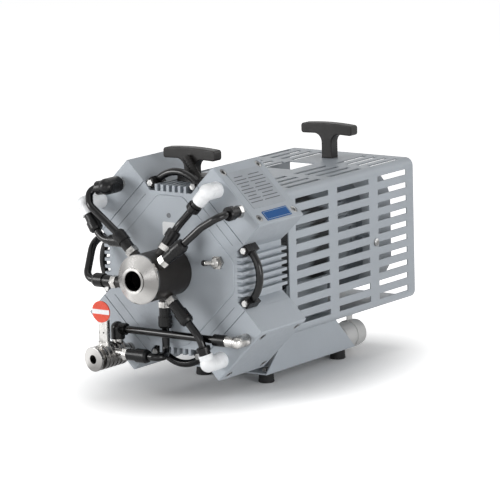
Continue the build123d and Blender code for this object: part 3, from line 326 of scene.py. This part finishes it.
def bump(tree, shader, height, strength, distance, edge=0.0):
    """Relief of a height. An edge radius also rounds the light on the piece's own sharp edges."""
    node = add(tree, "ShaderNodeBump", strength=strength, distance=distance)
    tree.links.new(height, node.inputs["Height"])
    if edge:
        round_edge = add(tree, "ShaderNodeBevel", samples=4, radius=edge)
        tree.links.new(round_edge.outputs["Normal"], node.inputs["Normal"])
    tree.links.new(node.outputs["Normal"], shader.inputs["Normal"])


def powder_coat(name, colour, grain=900.0, roughness=0.40, edge=0.0007):
    """Powder coat: orange peel in the bump, faint clouds in the colour and rounded light on its edges."""
    material, tree, shader = new_finish(name)
    clouds = ramp(tree, noise(tree, 14.0), tint(colour, 0.965), tint(colour, 1.03))
    specks = ramp(tree, noise(tree, 1500.0, 1.0), grey(0.965), grey(1.0), 0.30, 0.42)
    both = add(tree, "ShaderNodeMix", data_type="RGBA", blend_type="MULTIPLY")
    both.inputs["Factor"].default_value = 1.0
    tree.links.new(clouds, both.inputs[6])
    tree.links.new(specks, both.inputs[7])
    tree.links.new(both.outputs[2], shader.inputs["Base Color"])
    uneven_gloss(tree, shader, roughness, scale=160.0, spread=0.05)
    bump(tree, shader, noise(tree, grain, 2.0), strength=0.20, distance=0.00025, edge=edge)
    return material


def paint_with_painted_shade(name, light, dark, pitch=0.082, first=0.036):
    """Painted housing with painted shade round it in dark bands, standing where shade falls inside the cage:
    the paint's share follows the cosine of the place along Y, so that it is whole at the first place and
    again at each pitch."""
    material, tree, shader = new_finish(name)
    past_first = arithmetic(tree, "SUBTRACT", object_axes(tree)[1], first)
    share = wave(tree, arithmetic(tree, "MULTIPLY", past_first, 2 * math.pi / pitch))
    ragged_share = arithmetic(tree, "ADD", share, arithmetic(tree, "MULTIPLY", noise(tree, 60.0), 0.08))
    # The ramp puts painted shade in dark bands between the paint, where shade falls inside the cage.
    paint = ramp(tree, ragged_share, tint(dark, 1.0), tint(light, 1.0), low_at=0.25, high_at=0.80)
    tree.links.new(paint, shader.inputs["Base Color"])
    uneven_gloss(tree, shader, 0.42, scale=120.0, spread=0.06)
    bump(tree, shader, noise(tree, 500.0, 2.0), strength=0.2, distance=0.0003, edge=0.0006)
    return material


def moulded_plastic(name, colour, roughness=0.34, grain=1400.0, relief=0.12, gloss=0.25, soft=0.0):
    """Moulded plastic: fine spark-eroded grain with an uneven gloss. A soft share lets light into it."""
    material, tree, shader = new_finish(name)
    uneven_colour(tree, shader, colour, scale=30.0, darkest=0.9, lightest=1.1)
    uneven_gloss(tree, shader, roughness, scale=90.0, spread=0.06)
    shader.inputs["Specular IOR Level"].default_value = gloss
    if soft:
        shader.inputs["Subsurface Weight"].default_value = soft
        shader.inputs["Subsurface Radius"].default_value = (0.004, 0.004, 0.004)
    bump(tree, shader, noise(tree, grain, 2.0), strength=relief, distance=0.0002)
    return material


def turned_metal(name, bright, dark, centre=None, roughness=0.20, fans=2.0, rings=2600.0):
    """Bright metal with painted reflection in its colour. With a centre, painted light and dark fans spread
    round a line along Y through it, and a lathe's fine rings run about it. Without one, painted light and
    dark drift over the piece in place of the room's reflection."""
    material, tree, shader = new_finish(name)
    shader.inputs["Metallic"].default_value = 1.0
    if centre is None:
        light = noise(tree, 90.0, 1.5)
        height = noise(tree, 1300.0, 2.0)
        light_from, light_to = 0.42, 0.56
    else:
        axes = object_axes(tree)
        across = arithmetic(tree, "SUBTRACT", axes[0], centre[0])
        up = arithmetic(tree, "SUBTRACT", axes[2], centre[2])
        angle = arithmetic(tree, "ARCTAN2", across, up)
        squares = [arithmetic(tree, "MULTIPLY", leg, leg) for leg in (across, up)]
        radius = arithmetic(tree, "SQRT", arithmetic(tree, "ADD", *squares))
        drift = arithmetic(tree, "SUBTRACT", noise(tree, 26.0, 2.0), 0.5)
        wander = arithmetic(tree, "MULTIPLY", drift, 1.9)
        light = wave(tree, arithmetic(tree, "ADD", arithmetic(tree, "MULTIPLY", angle, fans), wander))
        height = arithmetic(tree, "SINE", arithmetic(tree, "MULTIPLY", radius, 2 * math.pi * rings))
        light_from, light_to = 0.05, 0.80
    # The ramp paints the reflection into the base colour, from the dark colour to the bright one.
    tree.links.new(ramp(tree, light, tint(dark, 1.0), tint(bright, 1.0), light_from, light_to),
                   shader.inputs["Base Color"])
    uneven_gloss(tree, shader, roughness, scale=220.0, spread=0.05)
    bump(tree, shader, height, strength=0.12, distance=0.00008, edge=0.0003)
    return material


def cast_metal(name, colour, roughness=0.6, metallic=0.7):
    """Cast or laminated iron: coarse grain and dull metal."""
    material, tree, shader = new_finish(name)
    shader.inputs["Metallic"].default_value = metallic
    uneven_colour(tree, shader, colour, scale=80.0, darkest=0.8, lightest=1.15)
    uneven_gloss(tree, shader, roughness, scale=200.0, spread=0.08)
    bump(tree, shader, noise(tree, 500.0), strength=0.35, distance=0.0004)
    return material


def enamel(name, colour, roughness=0.25, gloss=0.5):
    """Smooth enamel or printed foil: even colour under a clear gloss, with slight waviness."""
    material, tree, shader = new_finish(name)
    uneven_colour(tree, shader, colour, scale=40.0, darkest=0.94, lightest=1.05)
    uneven_gloss(tree, shader, roughness, scale=150.0, spread=0.04)
    shader.inputs["Specular IOR Level"].default_value = gloss
    bump(tree, shader, noise(tree, 120.0), strength=0.05, distance=0.0002)
    return material


def wear_finish(node, material):
    """Give a CAD node its material, on the object so the mesh stays as it is."""
    piece = frame["nodes"][node]
    if not piece.material_slots:
        piece.data.materials.append(None)
    for spot in piece.material_slots:
        spot.link = "OBJECT"
        spot.material = material


# nodes that share a finish
COATED = ("crankcase front_cover head_ne head_nw head_sw head_se cage cage_brackets base motor_cradle "
          "handle_post")
COWLS = "motor_bell rear_shield fan_cowl"
CAN = "capacitor capacitor_clip"
FITTINGS = "distributor_fittings push_fittings valley_blocks cable_gland terminal_box fan"
HANDLES = "handle_front handle_rear"
HOSES = "hoses_ne hoses_nw hoses_lower hose_west valley_hoses"
TURNED = "relief_body relief_cap steel_elbow hex_nuts vent_nozzle relief_poppet relief_spring"
SCREWS = ("head_screws banjo_screws foot_screws cage_screws crankshaft bearing_inner_rings "
          "bearing_outer_rings")
RUBBER = "feet diaphragms valve_discs"
RODS = "rods_front rods_rear"
BUSHES = "rod_bushes_front rod_bushes_rear"
CASTINGS = "counterweights stator rotor"

# colours of the finishes that aren't the user's to set
CAN_GREY = (0.54, 0.54, 0.535)
MANIFOLD_BLACK = (0.0125, 0.0105, 0.0095)
HANDLE_BLACK = (0.015, 0.014, 0.0135)
HOSE_BLACK = (0.0035, 0.0035, 0.0040)
RUBBER_BLACK = (0.013, 0.013, 0.0135)
TIP_BLACK = (0.010, 0.010, 0.011)
IRON_GREY = (0.20, 0.19, 0.19)
# bright and dark colours of the painted reflection on the turned metal
FLANGE_BRIGHT = (0.52, 0.51, 0.495)
NUT_DARK = (0.30, 0.295, 0.285)
SCREW_BRIGHT, SCREW_DARK = (0.46, 0.46, 0.455), (0.17, 0.17, 0.17)
SPRING_BRIGHT, SPRING_DARK = (0.45, 0.45, 0.44), (0.28, 0.28, 0.28)
ALLOY_BRIGHT, ALLOY_DARK = (0.62, 0.63, 0.64), (0.40, 0.41, 0.42)
BRONZE_BRIGHT, BRONZE_DARK = (0.55, 0.40, 0.18), (0.30, 0.20, 0.08)
FOIL_GREY = (0.345, 0.372, 0.405)
INK_GREY = (0.075, 0.080, 0.090)
BORDER_BLUE = (0.30, 0.40, 0.52)
BADGE_GREY = (0.72, 0.73, 0.74)
DIMPLE_GREY = (0.16, 0.17, 0.185)


class PUMP_OT_finishes(bpy.types.Operator):
    """Give each CAD piece its finish"""
    bl_idname = "pump.finishes"
    bl_label = "Finishes"

    def execute(self, context):
        tone = context.scene.pump_colours
        inlet_centre, outlet_corner = middle("inlet_port"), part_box("outlet_body")[0]
        finishes = {
            COATED: powder_coat("powder_coat", tone.coat),
            COWLS: powder_coat("cowl_paint", tone.cowl, grain=500.0, roughness=0.45),
            CAN: powder_coat("capacitor_can", CAN_GREY, grain=1200.0, roughness=0.42, edge=0.0),
            # Motor housing: paint with bands of painted shade.
            "motor_housing": paint_with_painted_shade("motor_paint", tone.coat, tone.motor),
            "manifold": moulded_plastic("manifold_plastic", MANIFOLD_BLACK, roughness=0.42, grain=900.0,
                                        relief=0.22, gloss=0.30),
            FITTINGS: moulded_plastic("black_plastic", tone.black, roughness=0.28, relief=0.10, gloss=0.22),
            HANDLES: moulded_plastic("handle_plastic", HANDLE_BLACK, roughness=0.44, grain=520.0,
                                     relief=0.42, gloss=0.26),
            HOSES: moulded_plastic("hose", HOSE_BLACK, roughness=0.18, grain=260.0, relief=0.04, gloss=0.30),
            "white_elbows": moulded_plastic("white_plastic", tone.white, roughness=0.30, grain=900.0,
                                            relief=0.08, gloss=0.5, soft=0.15),
            RUBBER: moulded_plastic("rubber", RUBBER_BLACK, roughness=0.70, grain=500.0, relief=0.3,
                                    gloss=0.2),
            # turned metal carries painted reflection in its colour
            "inlet_port": turned_metal("flange_steel", FLANGE_BRIGHT, tone.shade, inlet_centre),
            "outlet_body": turned_metal("outlet_steel", tone.steel, tone.shade, outlet_corner,
                                        roughness=0.22),
            TURNED: turned_metal("bright_steel", tone.steel, NUT_DARK, roughness=0.26),
            SCREWS: turned_metal("screw_steel", SCREW_BRIGHT, SCREW_DARK, roughness=0.32),
            RODS: turned_metal("rod_alloy", ALLOY_BRIGHT, ALLOY_DARK, roughness=0.36),
            BUSHES: turned_metal("bronze", BRONZE_BRIGHT, BRONZE_DARK, roughness=0.30),
            CASTINGS: cast_metal("iron", IRON_GREY),
            "relief_sign": enamel("sign_enamel", tone.red),
        }
        for names, material in finishes.items():
            for node in names.split():
                wear_finish(node, material)
        bare = [name for name, piece in frame["nodes"].items()
                if not piece.material_slots or piece.material_slots[0].link != "OBJECT"]
        if bare:
            raise RuntimeError("no finish for " + ", ".join(sorted(bare)))
        return {"FINISHED"}


# ---- plates and marks ------------------------------------------------------
NAMEPLATE_RISE = 0.0055  # up the slope from the middle of the head's outer face
NAMEPLATE_CORNER = 0.002
STRIP_DROP = 0.0355  # down the slope from there
STRIP_CORNER = 0.0012
STRIP_SHARE = 1.2  # the strip's thickness in plate thicknesses
PRINT_THICKNESS = 0.00012
PRINT_STEPS = 3  # points on each corner of a printed line
RULE_MARGIN = 0.010  # left free across the nameplate
RULE_COLUMNS = ((-0.27, 0.36), (0.20, 0.46))  # middle and length of each, in nameplate lengths
RULE_CORNER = 0.0003
RULE_SHORT = 0.72  # length of every third rule, against the others
BORDER_MARGIN = 0.003  # by which the frame is smaller than the strip
BORDER_LINE = 0.0006
BORDER_CORNER = 0.0002


def wear_and_ride(piece, material):
    """Finish one of the scene's own pieces, and let it ride the housing."""
    piece.data.materials.append(material)
    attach(piece, "housing")


def head_outer_face():
    """Middle of the upper right head's outer face, the way it faces and the direction down its slope."""
    out = np.array([1.0, 0.0, 1.0]) / math.sqrt(2)
    points = node_points("head_ne") - np.array([0.0, 0.0, CRANK_HEIGHT])
    radius = float((points @ out).max())
    centre = np.array([0.0, middle("head_ne").y, CRANK_HEIGHT]) + out * radius
    return centre, out, np.array([1.0, 0.0, -1.0]) / math.sqrt(2)


def printed_bar(centre, down, along, width, length, corner):
    """Rings of one printed line on the head's slope: a rounded rectangle, as thin as ink."""
    outline = rounded_outline(width, length, corner, PRINT_STEPS)
    return plate(centre, down, along, outline, PRINT_THICKNESS)


class PUMP_OT_nameplate(bpy.types.Operator):
    """Nameplate with blank rules, and a blank strip below it, on the upper right head"""
    bl_idname = "pump.nameplate"
    bl_label = "Nameplate"

    def execute(self, context):
        size, tone = context.scene.pump_sizes, context.scene.pump_colours
        face, out, down = head_outer_face()
        along = np.array([0.0, 1.0, 0.0])
        centre = face - down * NAMEPLATE_RISE
        foil_outline = rounded_outline(size.plate_width, size.plate_length, NAMEPLATE_CORNER)
        foil = skin("nameplate_blank", plate(centre, down, along, foil_outline, size.plate_thickness))
        rules = self.rules(centre + out * size.plate_thickness, down, along, size)
        strip_centre = face + down * STRIP_DROP
        strip_thickness = size.plate_thickness * STRIP_SHARE
        strip_outline = rounded_outline(size.strip_width, size.strip_length, STRIP_CORNER)
        strip = skin("strip_blank", plate(strip_centre, down, along, strip_outline, strip_thickness))
        border = self.border(strip_centre + out * strip_thickness, down, along,
                             size.strip_width - BORDER_MARGIN, size.strip_length - BORDER_MARGIN)
        wear_and_ride(foil, enamel("plate_foil", FOIL_GREY, roughness=0.32, gloss=0.4))
        wear_and_ride(rules, enamel("rule_ink", INK_GREY, roughness=0.4))
        wear_and_ride(strip, enamel("strip_blue", tone.blue, roughness=0.35, gloss=0.12))
        wear_and_ride(border, enamel("border_white", BORDER_BLUE, roughness=0.35, gloss=0.3))
        return {"FINISHED"}

    @staticmethod
    def rules(centre, down, along, size):
        """Plain printed rules in two columns, as on a form with nothing filled in."""
        count = int((size.plate_width - RULE_MARGIN) / size.rule_pitch)
        rows = (np.arange(count) - (count - 1) / 2) * size.rule_pitch
        bars = []
        for number, row in enumerate(rows):
            for place, share in RULE_COLUMNS:
                length = size.plate_length * share * (1.0 if number % 3 else RULE_SHORT)
                bars.append(printed_bar(centre + down * row + along * size.plate_length * place, down, along,
                                        size.rule_height, length, RULE_CORNER))
        return skin("nameplate_rules", *bars)

    @staticmethod
    def border(centre, down, along, width, length):
        """Thin printed frame: two long bars and two short ones that meet at the corners."""
        bars = [printed_bar(centre + down * side * width / 2, down, along, BORDER_LINE,
                            length + BORDER_LINE, BORDER_CORNER) for side in (-1, 1)]
        bars += [printed_bar(centre + along * side * length / 2, down, along, width - BORDER_LINE,
                             BORDER_LINE, BORDER_CORNER) for side in (-1, 1)]
        return skin("strip_border", *bars)


BADGE_ACROSS, BADGE_RISE = -0.0030, 0.0500  # from the crank axis
BADGE_SHARE = 0.9  # the badge's height in widths
BADGE_CORNER = 0.0025
DIMPLE_RISE = 0.0165  # above the badge's middle
DIMPLE_RIM, DIMPLE_FLOOR = 0.0005, 0.00015  # heights above the cover


class PUMP_OT_badge(bpy.types.Operator):
    """Blank badge and a small ring mark above it, on the front cover"""
    bl_idname = "pump.badge"
    bl_label = "Badge"

    def execute(self, context):
        size = context.scene.pump_sizes
        centre = np.array([BADGE_ACROSS, COVER_FRONT, CRANK_HEIGHT + BADGE_RISE])
        outline = rounded_outline(size.badge_size, size.badge_size * BADGE_SHARE, BADGE_CORNER)
        badge = skin("badge_blank", plate(centre, (1, 0, 0), (0, 0, 1), outline, size.plate_thickness))
        radius = size.dimple_radius
        ring = skin("cover_dimple", turned(
            centre + np.array([0.0, 0.0, DIMPLE_RISE]), (0, -1, 0),
            [(0.0, 0.2 * radius), (0.0, radius), (DIMPLE_RIM, 0.93 * radius), (DIMPLE_RIM, 0.62 * radius),
             (DIMPLE_FLOOR, 0.5 * radius), (DIMPLE_FLOOR, 0.2 * radius)]))
        wear_and_ride(badge, enamel("badge_foil", BADGE_GREY, roughness=0.3))
        wear_and_ride(ring, enamel("dimple_foil", DIMPLE_GREY, roughness=0.35))
        return {"FINISHED"}


SIGN_BAR_SHARE = 0.985  # the bar's reach in disc radii
SIGN_BAR_THICKNESS = 0.0003


class PUMP_OT_sign_bar(bpy.types.Operator):
    """White bar right across the red disc on the relief valve"""
    bl_idname = "pump.sign_bar"
    bl_label = "Sign bar"

    def execute(self, context):
        size, tone = context.scene.pump_sizes, context.scene.pump_colours
        low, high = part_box("relief_sign")
        radius = (high.x - low.x) / 2
        centre = ((low.x + high.x) / 2, low.y, (low.z + high.z) / 2)
        outline = band_outline(radius * SIGN_BAR_SHARE, size.bar_height)
        bar = skin("sign_bar", plate(centre, (1, 0, 0), (0, 0, 1), outline, SIGN_BAR_THICKNESS))
        wear_and_ride(bar, enamel("sign_white", tone.white))
        return {"FINISHED"}


VENT_END_DEPTH = 0.003  # how much of the nozzle's end sets the tip's middle and radius
TIP_SEAT = 0.0035  # how far the tip reaches over the nozzle
TIP_LENGTH = 0.0045
TIP_LIP = 0.0032  # where the tip is widest
TIP_HOLLOW = 0.0030  # where its mouth ends
TIP_CLOSED = 0.0002  # radius of the small caps on its axis


class PUMP_OT_vent_tip(bpy.types.Operator):
    """Black rubber tip on the end of the vent nozzle"""
    bl_idname = "pump.vent_tip"
    bl_label = "Vent tip"

    def execute(self, context):
        points = node_points("vent_nozzle")
        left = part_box("vent_nozzle")[0].x
        end = points[points[:, 0] < left + VENT_END_DEPTH]
        end_middle = (end.min(axis=0) + end.max(axis=0)) / 2
        radius = (end[:, 2].max() - end[:, 2].min()) / 2
        tip = skin("vent_tip", turned(
            (left + TIP_SEAT, end_middle[1], end_middle[2]), (-1, 0, 0),
            [(0.0, TIP_CLOSED), (0.0, radius * 1.12), (TIP_LIP, radius * 1.15), (TIP_LENGTH, radius * 0.9),
             (TIP_LENGTH, radius * 0.4), (TIP_HOLLOW, TIP_CLOSED)], around=32))
        wear_and_ride(tip, moulded_plastic("tip_rubber", TIP_BLACK, roughness=0.5))
        return {"FINISHED"}


class PUMP_OT_relief_spring(bpy.types.Operator):
    """Relief valve's spring: a coil from the poppet up to the spring's fixed end, in place of the CAD spring
    """
    bl_idname = "pump.relief_spring"
    bl_label = "Relief spring"

    def execute(self, context):
        size = context.scene.pump_sizes
        low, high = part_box("relief_spring")
        across, behind = (low.x + high.x) / 2, (low.y + high.y) / 2
        joints = frame["record"]["behaviour"]["joints"]
        valve = next(joint for joint in joints if joint["name"] == "relief_lift")
        top = valve["deforming_nodes"][0]["fixed_end_z_m"]
        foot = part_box("relief_poppet")[1].z
        coil = skin("relief_spring_coil", self.coil(
            (across, behind, foot), (high.x - low.x) / 2 - size.spring_wire, top - foot, size.spring_wire,
            size.spring_turns))
        steel = turned_metal("spring_steel", SPRING_BRIGHT, SPRING_DARK, roughness=0.3)
        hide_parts("relief_spring")
        wear_and_ride(coil, steel)
        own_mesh(coil)
        return {"FINISHED"}

    @staticmethod
    def coil(foot, radius, height, wire, turns, steps=140, around=10):
        """Rings of a coil: a circle of the wire's radius follows a line that winds evenly from foot to top.
        Each circle lies across that line, on its outward direction and the direction square to both."""
        share = np.linspace(0, 1, steps)[:, None]
        angle = 2 * math.pi * turns * share
        outward = np.concatenate([np.cos(angle), np.sin(angle), np.zeros_like(angle)], axis=1)
        rise = height - 2 * wire
        line = np.array(foot) + radius * outward + (wire + rise * share) * np.array([0.0, 0.0, 1.0])
        slope = np.full_like(angle, rise / (2 * math.pi * turns * radius))
        forward = np.concatenate([-np.sin(angle), np.cos(angle), slope], axis=1)
        forward /= np.linalg.norm(forward, axis=1, keepdims=True)
        upward = np.cross(forward, outward)
        turn = np.linspace(0, 2 * math.pi, around, endpoint=False)[None, :, None]
        return line[:, None] + wire * (np.cos(turn) * outward[:, None] - np.sin(turn) * upward[:, None])


# ---- studio ----------------------------------------------------------------
CAMERA_PLACE = (2.61295, -3.60592, 0.98352)
CAMERA_TURN = math.radians(35.87)
CAMERA_RISE = math.radians(10.54)
CAMERA_ROLL = math.radians(-1.53)
CAMERA_LENS = 264.73
FLOOR_REACH = 6.0  # half the floor's side
FLOOR_THICKNESS = 0.01
# The glow's rise from the pump outwards leaves painted shade on the floor round it.
FLOOR_MARGIN = 0.07  # round the pump, for the glow's measure
GLOW_FROM, GLOW_TO = 0.4, 1.3  # where the glow begins and where it is full, in that measure
GLOW_FULL = 0.92
LAMPS = {  # place and size of each, by the name of its strength
    "key": ((-1.50, -1.80, 0.75), (0.9, 0.9)),
    "side": ((2.1, -0.7, 0.45), (1.2, 0.8)),
    "top": ((0.0, 0.15, 2.2), (1.5, 1.5)),
    "front": ((0.5, -2.4, 0.45), (1.4, 0.8)),
    "rear": ((1.5, 1.7, 1.3), (1.2, 1.2)),
}


def camera_axes():
    """Right, up and back directions of the camera from its turn, rise and roll."""
    level = math.cos(CAMERA_RISE)
    back = Vector((math.sin(CAMERA_TURN) * level, -math.cos(CAMERA_TURN) * level, math.sin(CAMERA_RISE)))
    right = Vector((math.cos(CAMERA_TURN), math.sin(CAMERA_TURN), 0.0))
    up = back.cross(right)
    cosine, sine = math.cos(CAMERA_ROLL), math.sin(CAMERA_ROLL)
    return right * cosine + up * sine, up * cosine - right * sine, back


def seen_share(tree):
    """One for rays from the camera, in gloss or through glass, and none for the light on the object."""
    path = add(tree, "ShaderNodeLightPath").outputs
    glossy = arithmetic(tree, "MAXIMUM", path["Is Camera Ray"], path["Is Glossy Ray"])
    return arithmetic(tree, "MAXIMUM", glossy, path["Is Transmission Ray"])


def mixed_strength(tree, plain, seen):
    """Strength that is plain for the light on the object and seen for the eye."""
    node = add(tree, "ShaderNodeMapRange")
    feed(tree, node.inputs["To Min"], plain)
    feed(tree, node.inputs["To Max"], seen)
    tree.links.new(seen_share(tree), node.inputs["Value"])
    return node.outputs["Result"]


def area_lamp(name, place, size, power):
    """Area lamp that faces the crank axis above the origin."""
    light = bpy.data.lights.new(name, "AREA")
    light.shape = "RECTANGLE"
    light.size, light.size_y = size
    light.energy = power
    lamp = bpy.data.objects.new(name, light)
    lamp.location = place
    lamp.rotation_mode = "QUATERNION"
    aim = Vector((0.0, 0.0, CRANK_HEIGHT)) - Vector(place)
    lamp.rotation_quaternion = aim.to_track_quat("-Z", "Y")
    bpy.context.scene.collection.objects.link(lamp)


def floor_finish():
    """White floor: plain under the pump, so it keeps the shadow, and glowing white to the eye away from it.
    The glow follows the distance from the middle, in half sides of the pump and its margin, and its fall
    towards the pump is painted shade on the floor round it."""
    material, tree, shader = new_finish("floor_white")
    shader.inputs["Base Color"].default_value = grey(0.93)
    shader.inputs["Roughness"].default_value = 0.85
    shader.inputs["Specular IOR Level"].default_value = 0.0
    shader.inputs["Emission Color"].default_value = grey(1.0)
    half_width, half_length = CAD_BOX[1][0], CAD_BOX[1][1]
    counted = add(tree, "ShaderNodeVectorMath", operation="MULTIPLY")
    counted.inputs[1].default_value = (1 / (half_width + FLOOR_MARGIN), 1 / (half_length + FLOOR_MARGIN), 0.0)
    tree.links.new(object_coordinates(tree), counted.inputs[0])
    away = add(tree, "ShaderNodeVectorMath", operation="LENGTH")
    tree.links.new(counted.outputs[0], away.inputs[0])
    glow = add(tree, "ShaderNodeMapRange", interpolation_type="SMOOTHSTEP")
    glow.inputs["From Min"].default_value = GLOW_FROM
    glow.inputs["From Max"].default_value = GLOW_TO
    glow.inputs["To Max"].default_value = GLOW_FULL
    tree.links.new(away.outputs["Value"], glow.inputs["Value"])
    tree.links.new(mixed_strength(tree, 0.0, glow.outputs["Result"]), shader.inputs["Emission Strength"])
    return material


class PUMP_OT_studio(bpy.types.Operator):
    """White floor and room, soft lamps and the camera"""
    bl_idname = "pump.studio"
    bl_label = "Studio"

    def execute(self, context):
        scene = context.scene
        light = scene.pump_lights
        corners = np.array([[-1, -1, 0], [1, -1, 0], [1, 1, 0], [-1, 1, 0]]) * FLOOR_REACH
        levels = (-FLOOR_THICKNESS, 0.0)
        floor = skin("floor", np.stack([corners + np.array([0, 0, level]) for level in levels]))
        floor.data.materials.append(floor_finish())

        world = bpy.data.worlds.new("studio")
        scene.world = world
        world.use_nodes = True
        tree = world.node_tree
        sky = tree.nodes["Background"]
        sky.inputs["Color"].default_value = grey(1.0)
        tree.links.new(mixed_strength(tree, light.ambient, 1.0), sky.inputs["Strength"])
        for name, (place, size) in LAMPS.items():
            area_lamp(name, place, size, getattr(light, name))

        data = bpy.data.cameras.new("camera")
        data.lens = CAMERA_LENS
        data.clip_start, data.clip_end = 0.1, 50.0
        camera = bpy.data.objects.new("camera", data)
        facing = Matrix(camera_axes()).transposed().to_4x4()
        camera.matrix_world = Matrix.Translation(Vector(CAMERA_PLACE)) @ facing
        scene.collection.objects.link(camera)
        scene.camera = camera
        scene.view_settings.view_transform = "Standard"
        return {"FINISHED"}


class PUMP_PT_panel(bpy.types.Panel):
    """Steps that finish the pump"""
    bl_idname = "PUMP_PT_panel"
    bl_label = "Diaphragm pump"
    bl_space_type = "VIEW_3D"
    bl_region_type = "UI"
    bl_category = "Pump"

    def draw(self, context):
        for step in STEPS:
            self.layout.operator(step.bl_idname)


STEPS = (PUMP_OT_finishes, PUMP_OT_nameplate, PUMP_OT_badge, PUMP_OT_sign_bar, PUMP_OT_vent_tip,
         PUMP_OT_relief_spring, PUMP_OT_studio)
GROUPS = {"pump_sizes": PumpSizes, "pump_colours": PumpColours, "pump_lights": PumpLights}
CLASSES = tuple(GROUPS.values()) + STEPS + (PUMP_PT_panel,)


def register():
    for kind in CLASSES:
        bpy.utils.register_class(kind)
    for name, group in GROUPS.items():
        setattr(bpy.types.Scene, name, bpy.props.PointerProperty(type=group))


def unregister():
    for name in GROUPS:
        delattr(bpy.types.Scene, name)
    for kind in reversed(CLASSES):
        bpy.utils.unregister_class(kind)


def main():
    register()
    for step in STEPS:
        group, action = step.bl_idname.split(".")
        getattr(getattr(bpy.ops, group), action)()


if __name__ == "__main__":
    main()
